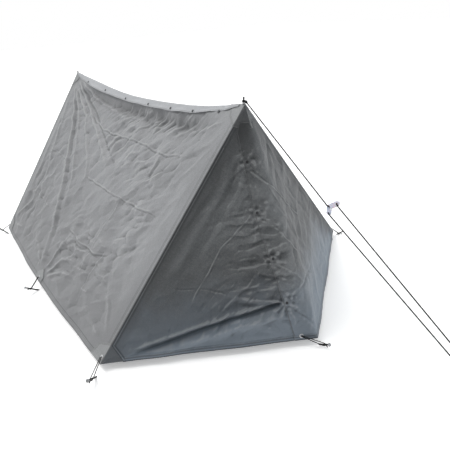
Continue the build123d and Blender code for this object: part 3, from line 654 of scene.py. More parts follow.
def flap_outer(sd):
    z = door_rows()
    x_free = np.interp(-z, -EDGE_Z, CAP_X - 0.014)
    start, mid, end = on_left(x_free, z), F + (P - F) * ((PEAK_Z - z) / (PEAK_Z - HEM_Z))[:, None], outline(B, z)
    G = []
    kL = 18
    widest = float(np.linalg.norm(end - mid, axis=1).max())
    kR = int(widest / DOOR_STEP)
    fine = np.array(EDGE_FINE[::-1])
    for a, m, b in zip(start, mid, end):
        t1 = np.concatenate([[0, 0.03, 0.06], np.linspace(0.10, 1, kL)])
        w = float(np.linalg.norm(b - m))
        if w > 2.2 * fine[0]:
            t2 = np.concatenate([np.linspace(0, w - fine[0], kR)[1:-1], w - fine]) / w
        else:
            t2 = np.linspace(0, 1, kR - 2 + len(fine) + 1)[1:]
        G.append(np.concatenate([a + (m - a) * t1[:, None], m + (b - m) * t2[:, None]]))
    G = np.array(G)
    C, Al = flat_door(G)
    C = np.where(np.arange(G.shape[1])[None] < kL + 3, -np.abs(C), np.abs(C))
    hip = np.linalg.norm(G - end[:, None], axis=2)
    hip = np.minimum(hip, np.linalg.norm(np.cross(G - F, unit(B - F)), axis=2))
    low = (G[..., 2] - HEM_Z) * DOOR_LEN / (PEAK_Z - HEM_Z)
    h = door_relief(C, Al, hip, low, sd)
    free = np.linalg.norm(G - start[:, None], axis=2)
    w = smooth(-0.085, 0.085, C)[..., None]
    n = N_L * (1 - w) + N_R * w
    n = n / np.linalg.norm(n, axis=2, keepdims=True)
    avg = unit(N_L + N_R)
    G = G + n * h[..., None] + avg * round_off(C, Al)[..., None]
    return G, np.stack([C, Al], -1), np.minimum(np.minimum(hip, low), free + 0.016)


# --------------------------------------------------------------------------
# Hoods and patches: cloth laid over a corner as a fan of facets
# --------------------------------------------------------------------------
def fan(name, centre, keys, sub, rings, out, closed=False, wrinkle=0.0, seed=5, middle=None):
    dirs, ups, own = [], [], []
    n = len(keys)
    last = n if closed else n - 1
    for i in range(last):
        (d0, r0, u0), (d1, r1, u1) = keys[i], keys[(i + 1) % n]
        for k in range(sub):
            t = k / sub
            dirs.append(d0 * r0 * (1 - t) + d1 * r1 * t)
            ups.append(u0 * (1 - t) + u1 * t)
    if not closed:
        dirs.append(keys[-1][0] * keys[-1][1])
        ups.append(keys[-1][2])
    else:
        dirs.append(dirs[0])
        ups.append(ups[0])
    dirs, ups = np.array(dirs), np.array(ups)
    r = np.array(rings)[:, None, None]
    hub = np.zeros(3) if middle is None else np.asarray(middle)
    G = centre + dirs[None] * r + ups[None] * smooth(0, 0.12, r) + hub * (1 - smooth(0, 0.12, r))
    nrm = smooth_normals(G)
    if float((nrm * np.asarray(out, float)).sum()) < 0:
        nrm = -nrm
    X, Y = np.meshgrid(np.arange(G.shape[1]) / sub * 0.08, r[:, 0, 0] * 0.11)
    G = G + nrm * (0.5 * wrinkle * crumple(X, Y, 0.03, seed) * smooth(0.15, 0.4, Y / 0.11) * (1 - smooth(0.85, 1.0, Y / 0.11)))[
        ..., None]
    if closed:
        G[:, -1] = G[:, 0]
    reach = np.linalg.norm(dirs, axis=1)
    edge = (1 - r[:, :, 0]) * reach[None]
    uv = np.stack([X, Y], -1)
    ob = cloth_mesh(name, G, out, uv, edge, closed=closed, hub=True)
    return ob, G


def door_side(ob):
    """The facets that lie on the door take the door's darker cloth and a painted shade in their colour."""
    ob.data.materials.append(SHADED_DOOR_PATCH)
    shade = ob.data.attributes["painted_shade"].data
    for f in ob.data.polygons:
        f.material_index = 1 if abs(f.normal.y) > 0.45 else 0
        if f.material_index:
            for i in f.vertices:
                shade[i].value = 0.52


def both(n1, n2, u1, u2):
    """Offset that stands u1 off the first plane and u2 off the second."""
    return np.linalg.lstsq(np.array([n1, n2]), np.array([u1, u2], float), rcond=None)[0]


# --------------------------------------------------------------------------
# Materials
# --------------------------------------------------------------------------
class Nodes:
    def __init__(self, name):
        self.m = bpy.data.materials.new(name)
        self.m.use_nodes = True
        self.t = self.m.node_tree
        for n in list(self.t.nodes):
            self.t.nodes.remove(n)
        self.out = self.add("ShaderNodeOutputMaterial")
        self.p = self.add("ShaderNodeBsdfPrincipled")
        self.link(self.p.outputs[0], self.out.inputs[0])

    def add(self, kind, **values):
        n = self.t.nodes.new(kind)
        for k, v in values.items():
            setattr(n, k, v)
        return n

    def link(self, a, b):
        self.t.links.new(a, b)

    def put(self, socket, value):
        if hasattr(value, "links") or hasattr(value, "is_linked"):
            self.link(value, socket)
        else:
            socket.default_value = value

    def math(self, op, a, b=0.0, c=None, clamp=False):
        n = self.add("ShaderNodeMath", operation=op, use_clamp=clamp)
        self.put(n.inputs[0], a)
        self.put(n.inputs[1], b)
        if c is not None:
            self.put(n.inputs[2], c)
        return n.outputs[0]

    def range(self, x, a, b, c=0.0, d=1.0, soft=True):
        n = self.add("ShaderNodeMapRange", interpolation_type="SMOOTHSTEP" if soft else "LINEAR")
        for s, val in zip(n.inputs[:5], (x, a, b, c, d)):
            self.put(s, val)
        return n.outputs[0]

    def mix(self, f, a, b):
        n = self.add("ShaderNodeMix", data_type="RGBA")
        self.put(n.inputs[0], f)
        self.put(n.inputs[6], a)
        self.put(n.inputs[7], b)
        return n.outputs[2]

    def coords(self, kind="Object"):
        return self.add("ShaderNodeTexCoord").outputs[kind]

    def noise(self, vec, scale, detail=2.0, rough=0.5, warp=0.0):
        n = self.add("ShaderNodeTexNoise")
        self.put(n.inputs["Vector"], vec)
        n.inputs["Scale"].default_value = scale
        n.inputs["Detail"].default_value = detail
        n.inputs["Roughness"].default_value = rough
        n.inputs["Distortion"].default_value = warp
        return n.outputs["Fac"]

    def bump(self, height, strength, distance, prev=None):
        n = self.add("ShaderNodeBump")
        n.inputs["Strength"].default_value = strength
        n.inputs["Distance"].default_value = distance
        self.link(height, n.inputs["Height"])
        if prev is not None:
            self.link(prev, n.inputs["Normal"])
        return n.outputs[0]

    def xyz(self, vec):
        n = self.add("ShaderNodeSeparateXYZ")
        self.link(vec, n.inputs[0])
        return n.outputs

    def attribute(self, name):
        return self.add("ShaderNodeAttribute", attribute_name=name).outputs["Fac"]


def rgb(r, g, b, k=1.0):
    return (r * k, g * k, b * k, 1.0)


def cloth_material(name, base, dark, light, rough=0.62, stitches=(0.0065, 0.0215), painted_shade_lines=((0.0, 0.0022, 0.42),),
                   low=None):
    """Proofed cotton: plain weave, slubs, faint stains, paler rubbed crests and a line of stitches along each edge,
    with painted shade in the grooves, beside the seams, along the edges and from a per-vertex shade attribute.
    """
    s = Nodes(name)
    obj, uv = s.coords("Object"), s.coords("UV")
    u = s.xyz(uv)
    # plain weave, about a millimetre a pair of threads
    wu = s.math("SINE", s.math("MULTIPLY", u[0], 2 * math.pi / 0.0011))
    wv = s.math("SINE", s.math("MULTIPLY", u[1], 2 * math.pi / 0.0011))
    weave = s.math("MULTIPLY", wu, wv)
    stretch = s.add("ShaderNodeMapping")
    stretch.inputs["Scale"].default_value = (60.0, 900.0, 1.0)
    s.link(uv, stretch.inputs["Vector"])
    slub = s.noise(stretch.outputs[0], 1.0, 2.0, 0.6)
    stretch2 = s.add("ShaderNodeMapping")
    stretch2.inputs["Scale"].default_value = (900.0, 60.0, 1.0)
    s.link(uv, stretch2.inputs["Vector"])
    slub2 = s.noise(stretch2.outputs[0], 1.0, 2.0, 0.6)
    cloud = s.noise(obj, 2.6, 4.0, 0.55, 0.3)
    patch = s.noise(obj, 9.0, 5.0, 0.6, 0.8)
    c = s.mix(s.range(cloud, 0.30, 0.72), dark, light)
    c = s.mix(s.math("MULTIPLY", s.range(patch, 0.35, 0.75), 0.45), c, base)
    c = s.mix(s.math("MULTIPLY", s.range(s.math("ADD", slub, slub2), 0.85, 1.2), 0.16), c, rgb(0.60, 0.62, 0.62))
    c = s.mix(s.math("MULTIPLY", s.range(weave, -1.0, 0.3, 1.0, 0.0), 0.10), c, rgb(0.03, 0.035, 0.035))
    if low:                # painted bounce light, paler and bluer towards the ground, on the door cloths; darker towards the bottom on the roof
        z0, z1, colour, much = low
        height = s.math("ADD", s.xyz(obj)[2], s.range(patch, 0.2, 0.8, -0.05, 0.05))
        c = s.mix(s.range(height, z0, z1, much, 0.0), c, colour)
    # painted shade from the per-vertex shade attribute, darkening towards near-black
    c = s.mix(s.attribute("painted_shade"), c, rgb(0.030, 0.031, 0.033))
    # paler crests from rubbing wear, and painted shade in the grooves
    point = s.add("ShaderNodeNewGeometry").outputs["Pointiness"]
    c = s.mix(s.math("MULTIPLY", s.range(point, 0.505, 0.53), 0.22), c, rgb(0.55, 0.56, 0.56))
    c = s.mix(s.math("MULTIPLY", s.range(point, 0.495, 0.47), 0.35), c, rgb(0.035, 0.038, 0.04))
    # stitches
    edge = s.attribute("edge")
    dash = s.range(s.math("SINE", s.math("MULTIPLY", s.math("ADD", u[0], u[1]), 2 * math.pi / 0.0036)), -0.45, -0.2)
    marks = None
    for d in stitches:
        near = s.range(s.math("ABSOLUTE", s.math("SUBTRACT", edge, d)), 0.0005, 0.0010, 1.0, 0.0)
        m = s.math("MULTIPLY", near, dash)
        marks = m if marks is None else s.math("MAXIMUM", marks, m)
    seam_groove_and_shade = None
    for d in stitches:
        g = s.range(s.math("ABSOLUTE", s.math("SUBTRACT", edge, d)), 0.0, 0.0035, 1.0, 0.0)
        seam_groove_and_shade = g if seam_groove_and_shade is None else s.math("MAXIMUM", seam_groove_and_shade, g)
    # painted shade beside the seams: darker colour along each stitch groove
    c = s.mix(s.math("MULTIPLY", seam_groove_and_shade, 0.16), c, rgb(0.02, 0.022, 0.024))
    c = s.mix(s.math("MULTIPLY", marks, 0.75), c, rgb(0.055, 0.06, 0.06))
    # painted shade: dark lines along the edges and in the seam and hem dips
    for at, half, much in painted_shade_lines:
        near = s.range(s.math("ABSOLUTE", s.math("SUBTRACT", edge, at)), half * 0.45, half, much, 0.0)
        c = s.mix(near, c, rgb(0.022, 0.024, 0.030))
    s.link(c, s.p.inputs["Base Color"])
    r = s.math("ADD", s.range(patch, 0.3, 0.8, -0.06, 0.06), rough)
    s.link(r, s.p.inputs["Roughness"])
    s.p.inputs["Specular IOR Level"].default_value = 0.42
    s.p.inputs["Sheen Weight"].default_value = 0.12
    s.p.inputs["Sheen Roughness"].default_value = 0.5
    wrinkle = s.noise(obj, 55.0, 5.0, 0.62, 1.1)
    fine = s.noise(obj, 24.0, 3.0, 0.55, 1.6)
    b = s.bump(fine, 0.55, 0.0030)
    b = s.bump(wrinkle, 0.55, 0.0013, b)
    b = s.bump(s.math("ADD", weave, s.math("ADD", slub, slub2)), 0.5, 0.00012, b)
    b = s.bump(s.math("SUBTRACT", marks, s.math("MULTIPLY", seam_groove_and_shade, 1.4)), 0.7, 0.0005, b)
    s.link(b, s.p.inputs["Normal"])
    return s.m


def metal_material(name, base, rough, metallic=1.0, wear=(0.35, 0.36, 0.37, 1), wear_amount=0.3, bump=0.25):
    s = Nodes(name)
    obj = s.coords("Object")
    n1, n2 = s.noise(obj, 60.0, 5.0, 0.6, 0.4), s.noise(obj, 420.0, 3.0, 0.5)
    point = s.add("ShaderNodeNewGeometry").outputs["Pointiness"]
    c = s.mix(s.range(n1, 0.3, 0.75), base, tuple(min(1.0, x * 1.7) for x in base[:3]) + (1.0,))
    c = s.mix(s.math("MULTIPLY", s.range(point, 0.52, 0.62), wear_amount), c, wear)
    s.link(c, s.p.inputs["Base Color"])
    s.p.inputs["Metallic"].default_value = metallic
    s.link(s.math("ADD", s.range(n1, 0.25, 0.8, -0.10, 0.14), rough), s.p.inputs["Roughness"])
    s.link(s.bump(n2, bump, 0.0002, s.bump(n1, bump, 0.0006)), s.p.inputs["Normal"])
    return s.m


def peg_material(name, catch, axis, head):
    """Blackened steel shaft; the head takes its own colour, a painted highlight of pale grey on some pegs, and the
    ground end goes darker and browner.
    """
    s = Nodes(name)
    obj = s.coords("Object")
    off = s.add("ShaderNodeVectorMath", operation="SUBTRACT")
    s.link(obj, off.inputs[0])
    off.inputs[1].default_value = catch
    dot = s.add("ShaderNodeVectorMath", operation="DOT_PRODUCT")
    s.link(off.outputs[0], dot.inputs[0])
    dot.inputs[1].default_value = axis
    along = dot.outputs["Value"]
    n1, n2 = s.noise(obj, 70.0, 5.0, 0.6, 0.5), s.noise(obj, 500.0, 3.0, 0.5)
    c = s.mix(s.range(n1, 0.3, 0.75), rgb(0.010, 0.010, 0.011), rgb(0.035, 0.033, 0.032))
    c = s.mix(s.range(s.math("ADD", along, s.math("MULTIPLY", n1, 0.012)), -0.075, -0.035, 0.65, 0.0), c,
              rgb(0.020, 0.016, 0.012))
    c = s.mix(s.range(s.math("ADD", along, s.math("MULTIPLY", n1, 0.004)), 0.027, 0.034), c, head)
    s.link(c, s.p.inputs["Base Color"])
    s.p.inputs["Metallic"].default_value = 0.55
    s.link(s.math("ADD", s.range(n1, 0.25, 0.8, -0.08, 0.15), 0.46), s.p.inputs["Roughness"])
    s.link(s.bump(n2, 0.3, 0.0002, s.bump(n1, 0.35, 0.0008)), s.p.inputs["Normal"])
    return s.m


def rope_material(name, base=(0.006, 0.006, 0.007, 1), light=(0.030, 0.029, 0.028, 1)):
    s = Nodes(name)
    obj = s.coords("Object")
    n1, n2 = s.noise(obj, 900.0, 3.0, 0.6, 0.5), s.noise(obj, 60.0, 4.0, 0.6)
    point = s.add("ShaderNodeNewGeometry").outputs["Pointiness"]
    c = s.mix(s.range(n1, 0.35, 0.8), base, light)
    c = s.mix(s.math("MULTIPLY", s.range(n2, 0.4, 0.8), 0.4), c, rgb(0.020, 0.018, 0.016))
    # painted shade between the strands, darker where the surface dips
    c = s.mix(s.math("MULTIPLY", s.range(point, 0.50, 0.44), 0.7), c, rgb(0.004, 0.004, 0.004))
    s.link(c, s.p.inputs["Base Color"])
    s.p.inputs["Roughness"].default_value = 0.9
    s.p.inputs["Specular IOR Level"].default_value = 0.25
    s.link(s.bump(n1, 0.6, 0.0005), s.p.inputs["Normal"])
    return s.m


def wood_material(name):
    s = Nodes(name)
    obj = s.coords("Object")
    m = s.add("ShaderNodeMapping")
    m.inputs["Scale"].default_value = (90.0, 90.0, 4.0)
    s.link(obj, m.inputs["Vector"])
    grain = s.noise(m.outputs[0], 1.0, 5.0, 0.6, 1.2)
    spot = s.noise(obj, 14.0, 4.0, 0.6)
    c = s.mix(s.range(grain, 0.3, 0.7), rgb(0.34, 0.21, 0.105), rgb(0.56, 0.39, 0.21))
    c = s.mix(s.math("MULTIPLY", s.range(spot, 0.45, 0.8), 0.4), c, rgb(0.26, 0.16, 0.08))
    s.link(c, s.p.inputs["Base Color"])
    s.link(s.range(grain, 0.2, 0.8, 0.42, 0.62), s.p.inputs["Roughness"])
    s.p.inputs["Coat Weight"].default_value = 0.15
    s.link(s.bump(grain, 0.4, 0.0006), s.p.inputs["Normal"])
    return s.m


def rubber_material(name):
    s = Nodes(name)
    obj = s.coords("Object")
    n1, n2 = s.noise(obj, 45.0, 4.0, 0.6), s.noise(obj, 600.0, 2.0, 0.5)
    c = s.mix(s.range(n1, 0.35, 0.75), rgb(0.018, 0.018, 0.018), rgb(0.06, 0.056, 0.052))
    s.link(c, s.p.inputs["Base Color"])
    s.link(s.range(n1, 0.2, 0.8, 0.7, 0.9), s.p.inputs["Roughness"])
    s.link(s.bump(n2, 0.4, 0.0003), s.p.inputs["Normal"])
    return s.m


def runner_material(name):
    """Moulded plastic, pale lavender going pinkish towards its upper end, scuffed along the edges."""
    s = Nodes(name)
    obj = s.coords("Object")
    y = s.xyz(obj)[1]
    n1, n2 = s.noise(obj, 70.0, 4.0, 0.6), s.noise(obj, 900.0, 2.0, 0.5)
    c = s.mix(s.range(y, -1.600, -1.575, 1.0, 0.0), rgb(0.42, 0.46, 0.62), rgb(0.47, 0.43, 0.54))
    c = s.mix(s.math("MULTIPLY", s.range(n1, 0.4, 0.8), 0.35), c, rgb(0.62, 0.66, 0.78))
    point = s.add("ShaderNodeNewGeometry").outputs["Pointiness"]
    c = s.mix(s.math("MULTIPLY", s.range(point, 0.53, 0.62), 0.3), c, rgb(0.90, 0.90, 0.92))
    s.link(c, s.p.inputs["Base Color"])
    s.link(s.range(n1, 0.2, 0.8, 0.34, 0.52), s.p.inputs["Roughness"])
    s.p.inputs["Subsurface Weight"].default_value = 0.08
    s.link(s.bump(n2, 0.2, 0.0001, s.bump(n1, 0.2, 0.0004)), s.p.inputs["Normal"])
    return s.m


ROOF_CLOTH = cloth_material("cloth_roof", rgb(0.240, 0.244, 0.254), rgb(0.210, 0.214, 0.224), rgb(0.270, 0.275, 0.287),
                            painted_shade_lines=((0.0, 0.0030, 0.50), (0.0290, 0.0030, 0.30)),
                            low=(0.05, 0.70, rgb(0.165, 0.167, 0.172), 0.55))
# painted shade: the door cloth is a darker copy of the roof's cloth for the door's shaded faces, with a paler, bluer
# painted bounce light towards the ground
SHADED_DOOR_CLOTH = cloth_material("cloth_door_painted_shade", rgb(0.108, 0.114, 0.119), rgb(0.092, 0.098, 0.102), rgb(0.124, 0.131, 0.137),
                            painted_shade_lines=((0.0015, 0.0050, 0.70), (0.0165, 0.0050, 0.45)),
                            low=(0.06, 0.44, rgb(0.208, 0.250, 0.298), 0.85))
# painted shade: the patches' door facets take a darker copy of the patch cloth
SHADED_DOOR_PATCH = cloth_material("cloth_door_patch_painted_shade", rgb(0.120, 0.126, 0.132), rgb(0.104, 0.110, 0.115),
                            rgb(0.138, 0.145, 0.151), stitches=(0.0045, 0.0100),
                            low=(0.06, 0.30, rgb(0.195, 0.222, 0.252), 0.80))
LAP_CLOTH = cloth_material("cloth_lap", rgb(0.400, 0.410, 0.430), rgb(0.360, 0.370, 0.390), rgb(0.440, 0.450, 0.470),
                           stitches=(0.0060,), painted_shade_lines=((0.0, 0.0020, 0.18),))
PATCH_CLOTH = cloth_material("cloth_patch", rgb(0.235, 0.241, 0.246), rgb(0.205, 0.211, 0.216),
                             rgb(0.260, 0.266, 0.272), stitches=(0.0045, 0.0100))
SNAP_METAL = metal_material("snap_metal", rgb(0.030, 0.030, 0.032), 0.42, 0.85)
EYELET_METAL = metal_material("eyelet_metal", rgb(0.42, 0.42, 0.43), 0.36, 1.0, wear=(0.8, 0.8, 0.8, 1))
FITTING_METAL = metal_material("fitting_metal", rgb(0.22, 0.22, 0.23), 0.38, 1.0)
SPIKE_METAL = metal_material("spike_metal", rgb(0.022, 0.022, 0.024), 0.45, 0.8)
ROPE = rope_material("dark_rope")
WOOD = wood_material("pole_wood")
RUBBER = rubber_material("foot_rubber")
RUNNER = runner_material("runner_plastic")

nodes = frame["nodes"]


def dress(names, mat):
    for n in names:
        ob = bpy.data.objects[nodes[n].name] if hasattr(nodes, "keys") and hasattr(nodes[n], "name") else bpy.data.objects[n]
        if not ob.data.materials:
            ob.data.materials.append(mat)
        for i in range(len(ob.data.materials)):
            ob.data.materials[i] = mat
        for sl in ob.material_slots:
            sl.material = mat


def finish_cloth(ob, mat, node=None, body="root"):
    ob.data.materials.append(mat)
    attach(ob, body)
    if node:
        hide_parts(*([node] if isinstance(node, str) else node))


# --------------------------------------------------------------------------
# Build the cloth
# --------------------------------------------------------------------------
for side, node in ((-1, "left_roof_half"), (1, "right_roof_half")):
    ob, G = roof(side, node.replace("half", "cloth"))
    finish_cloth(ob, ROOF_CLOTH,
                 node=node)


def ridge_lap():
    """Snapped overlap along the ridge; it lifts and gathers a little between its snaps, and narrows at the peaks."""
    end = 1.035
    ys = np.linspace(-end, end, 301)
    arc = np.concatenate([np.linspace(-LAP_RETURN, -0.004, 5), np.linspace(0.0, LAP_WIDTH - 0.012, 12),
                          LAP_WIDTH - np.array([0.010, 0.008, 0.006, 0.004, 0.002, 0.0])])
    near = np.min([np.abs(ys - s) for s in RIDGE_SNAPS], axis=0)
    wide = 0.052 + 0.016 * smooth(0.2, 0.85, ys) + 0.0030 * noise(ys, 0 * ys, 0.17, 73)
    wide = wide * (1 - 0.42 * smooth(0.55, 0.95, np.abs(ys))) * (1 - 0.60 * smooth(0.93, 1.035, np.abs(ys))) / LAP_WIDTH
    over = 0.0034 * smooth(0.925, 0.965, np.abs(ys))
    G = []
    for s in arc:
        side = -1 if s >= 0 else 1
        across = np.abs(s) * (wide if s >= 0 else np.minimum(1, wide + 0.1))
        Sv = across / SLOPE
        base = roof_base(ys, Sv, side)
        up = roof_base(ys, np.full_like(ys, 0.05), side)
        n = np.cross(np.gradient(up, axis=0), up - roof_base(ys, np.full_like(ys, 0.0), side))
        n = n / np.linalg.norm(n, axis=1, keepdims=True)
        n = np.where(n[:, 2:] < 0, -n, n)
        t = abs(s) / LAP_WIDTH
        lift = LAP_LIFT + over
        if s >= 0:
            puff = 0.0046 * smooth(0.35, 1.0, t) * smooth(0.02, 0.10, near) * (
                1 + 0.6 * noise(ys * 1.0, 0 * ys + s, 0.09, 71)) * (1 - smooth(0.86, 0.95, np.abs(ys)))
            pucker = 0.0010 * np.sin(near * 190) * np.exp(-near / 0.035) * smooth(0.25, 0.6, t)
            lift = lift + puff + pucker + 0.0010 * noise(ys, 0 * ys + s * 2, 0.05, 77)
            snap = np.hypot(near, across - LAP_WIDTH * 0.58)
            lift = LAP_LIFT + (lift - LAP_LIFT) * smooth(0.009, 0.022, snap)
        else:
            lift = lift + 0.0006 * noise(ys, 0 * ys + s * 2, 0.05, 79)
        G.append(base + n * lift[:, None])
    G = np.array(G)
    # round the crown
    crown = np.exp(-(arc / 0.006) ** 2)[:, None]
    G[..., 2] -= 0.0012 * crown
    S, Y = np.meshgrid(arc, ys, indexing="ij")
    W = np.broadcast_to(wide[None], S.shape)
    edge = np.minimum(np.minimum((LAP_WIDTH - S) * W, (S + LAP_RETURN) * W), end - np.abs(Y))
    return G, np.stack([Y, S * W], -1), edge


G, uv, edge = ridge_lap()
ob = cloth_mesh("ridge_lap_cloth", G, (-0.3, 0, 1), uv, edge, thick=0.0014)
finish_cloth(ob, LAP_CLOTH,
             node="ridge_lap_strip")

for end in ("front", "rear"):
    back = end == "rear"
    for kind, make, sd in (("outer", flap_outer, 300), ("inner", flap_inner, 300)):
        G, uv, edge = make(sd + (57 if back else 0))
        if back:
            G = turned(G)
        hip = np.linalg.norm(np.cross(np.abs(G) * V(-1, -1, 1) - F, unit(A - F)), axis=2)
        # painted shade in the flaps' colour: a dark band along each hip, and the upper right side of the outer flap
        if kind == "inner":
            shade = 0.55 * np.exp(-(hip / 0.090) ** 4)
        else:
            right = smooth(-0.02, 0.10, G[..., 0] * (-1 if back else 1))
            shade = np.maximum(0.58 * smooth(0.16, 0.46, G[..., 2]) * right,
                               0.96 * np.exp(-(hip / 0.140) ** 2) * smooth(0.03, 0.14, G[..., 2]))
        # painted shade on the inner flap above its hard low fold
        if kind == "inner":
            fx, fz = np.abs(G[..., 0]), G[..., 2]
            above = fz - np.interp(fx, [0.09, 0.235, 0.387, 0.464, 0.651, 0.80], [0.224, 0.194, 0.161, 0.145, 0.096, 0.06])
            shade = np.maximum(shade, 0.40 * smooth(-0.006, 0.010, above) * (1 - smooth(0.36, 0.60, fz)))
        ob = cloth_mesh("%s_%s_flap_cloth" % (end, kind), G, (0, 1 if back else -1, 0.3), uv, edge, painted_shade=shade)
        finish_cloth(ob, SHADED_DOOR_CLOTH,
                     node="%s_%s_flap" % (end, kind), body="%s_%s_flap_body" % (end, kind))

RINGS = [0.0, 0.03, 0.07, 0.12, 0.18, 0.26, 0.34, 0.42, 0.5, 0.58, 0.66, 0.74, 0.81, 0.86, 0.90, 0.94, 0.97, 0.985, 1.0]
for end, sign in (("front", -1), ("rear", 1)):
    pk = V(0, sign * HR, PEAK_Z)
    y1 = sign * (HR - 0.104)
    ridge0 = V(0, y1, float(ridge_z(y1)))
    rd = unit(ridge0 - pk)
    dd = unit(V(0, sign * (HB + REACH), HEM_Z) - pk)
    part = {}
    for side in (-1, 1):
        hip = unit(V(side * HW, sign * HB, HEM_Z) - pk)
        nroof = unit(np.cross(hip, rd))
        nroof = nroof if nroof[2] > 0 else -nroof
        nflap = unit(np.cross(hip, dd))
        nflap = nflap if nflap[1] * sign > 0 else -nflap
        part[side] = (hip, nroof, nflap)
    (hl, rl, fl), (hr, rr, fr) = part[-1], part[1]
    UP, IN = 0.0026, -0.0034
    keys = [(rd, 0.104, both(rl, rr, UP, UP)),
            (unit(rd + hl), 0.100, rl * UP),
            (hl, 0.116, both(rl, fl, UP, 0.0006)),
            (unit(hl + dd), 0.112, fl * IN),
            (dd, 0.112, both(fl, fr, IN, IN)),
            (unit(hr + dd), 0.112, fr * IN),
            (hr, 0.116, both(rr, fr, UP, 0.0006)),
            (unit(rd + hr), 0.100, rr * UP)]
    hub = np.linalg.lstsq(np.array([rl, rr, fl, fr]), np.array([UP, UP, 0.0008, 0.0008]), rcond=None)[0]
    ob, G = fan("%s_peak_hood" % end, pk, keys, 10, RINGS, V(0, sign * 0.6, 0.8), closed=True, wrinkle=0.0012,
                seed=61 + sign, middle=hub)
    finish_cloth(ob, PATCH_CLOTH,
                 node="%s_peak_gusset" % end)
    door_side(ob)

for name, c, sx, sy in (("front_left", A, -1, -1), ("front_right", B, 1, -1), ("rear_left", A * V(1, -1, 1), -1, 1),
                        ("rear_right", B * V(1, -1, 1), 1, 1)):
    pk, ap = V(0, sy * HR, PEAK_Z), V(0, sy * (HB + REACH), HEM_Z)
    u7 = (0.37 if sy < 0 else 1.77) / 2.14
    hem = V(sx * (HW + BULGE * math.sin(math.pi * u7)), (2 * u7 - 1) * HB, HEM_Z) - c
    hem = unit(hem)
    hip, hd = unit(pk - c), unit(ap - c)
    nr = unit(np.cross(hem, pk - c))
    nr = nr if nr[2] > 0 else -nr
    nf = unit(np.cross(hip, hd))
    nf = nf if nf[1] * sy > 0 else -nf
    UP, IN = 0.0023, -0.0036
    keys = [(hem, 0.112, nr * UP),
            (unit(hem + hip), 0.112, nr * UP),
            (hip, 0.124, both(nr, nf, UP, 0.0004)),
            (unit(hip + hd), 0.118, nf * IN),
            (hd, 0.128, nf * IN)]
    ob, G = fan(name + "_corner_cloth", c, keys, 12, RINGS, nr + nf, wrinkle=0.0008, seed=81, middle=both(nr, nf, UP, 0))
    finish_cloth(ob, PATCH_CLOTH,
                 node=name + "_corner_patch")
    door_side(ob)

for name, side in (("mid_left", -1), ("mid_right", 1)):
    hem0 = roof_base(V(0.0), V(1.0), side)[0]
    top0 = roof_base(V(0.0), V(0.0), side)[0]
    up = unit(top0 - hem0)
    along = V(0, 1, 0)
    n = unit(np.cross(along, up))
    n = n if n[2] > 0 else -n
    S, Y = [], []
    rows = np.array([0.002, 0.004, 0.0065, 0.012, 0.020, 0.028, 0.036, 0.046, 0.056, 0.066, 0.076, 0.084, 0.089, 0.092])
    G, E = [], []
    for h in rows:
        w = 0.062 if h < 0.046 else 0.062 * (0.092 - h) / 0.046 + 0.004
        t = np.concatenate([[-1, -0.98, -0.95], np.linspace(-0.9, 0.9, 23), [0.95, 0.98, 1]])
        yy = t * w
        base = roof_base(yy, np.full_like(yy, 1 - h / SLOPE), side)
        lift = 0.0033 + 0.0004 * noise(yy, yy * 0 + h, 0.03, 91)
        G.append(base + n * np.asarray(lift)[:, None])
        E.append(np.minimum(np.minimum(w - np.abs(yy), h - 0.002), 0.092 - h))
    G = np.array(G)
    ob = cloth_mesh(name + "_peg_cloth", G, n, None, np.array(E))
    finish_cloth(ob, PATCH_CLOTH,
                 node=name + "_patch")


# --------------------------------------------------------------------------
# Ropes: laid rope of three strands round the route's own smooth line
# --------------------------------------------------------------------------
def route_line(points):
    """The points of the smooth line through a rope's route."""
    cu = bpy.data.curves.new("route", "CURVE")
    cu.dimensions = "3D"
    sp = cu.splines.new("NURBS")
    sp.points.add(len(points) - 1)
    for q, p in zip(sp.points, points):
        q.co = (*p, 1.0)
    sp.order_u = 3
    sp.use_endpoint_u = True
    sp.resolution_u = 24
    ob = bpy.data.objects.new("route", cu)
    me = bpy.data.meshes.new_from_object(ob)
    out = np.array([v.co for v in me.vertices], float)
    bpy.data.objects.remove(ob)
    bpy.data.curves.remove(cu)
    bpy.data.meshes.remove(me)
    return out


def even(line, step):
    d = np.concatenate([[0], np.cumsum(np.linalg.norm(np.diff(line, axis=0), axis=1))])
    at = np.linspace(0, d[-1], max(3, int(round(d[-1] / step)) + 1))
    return np.stack([np.interp(at, d, line[:, k]) for k in range(3)], 1), d[-1]


def carried(line):
    """A frame carried along the line without twist."""
    t = np.gradient(line, axis=0)
    t /= np.linalg.norm(t, axis=1, keepdims=True)
    ref = V(1, 0, 0) if abs(t[0][0]) < 0.7 else V(0, 0, 1)
    u = [unit(np.cross(t[0], ref))]
    for k in range(1, len(line)):
        v = u[-1] - t[k] * float(u[-1] @ t[k])
        u.append(unit(v))
    u = np.array(u)
    return t, u, np.cross(t, u)


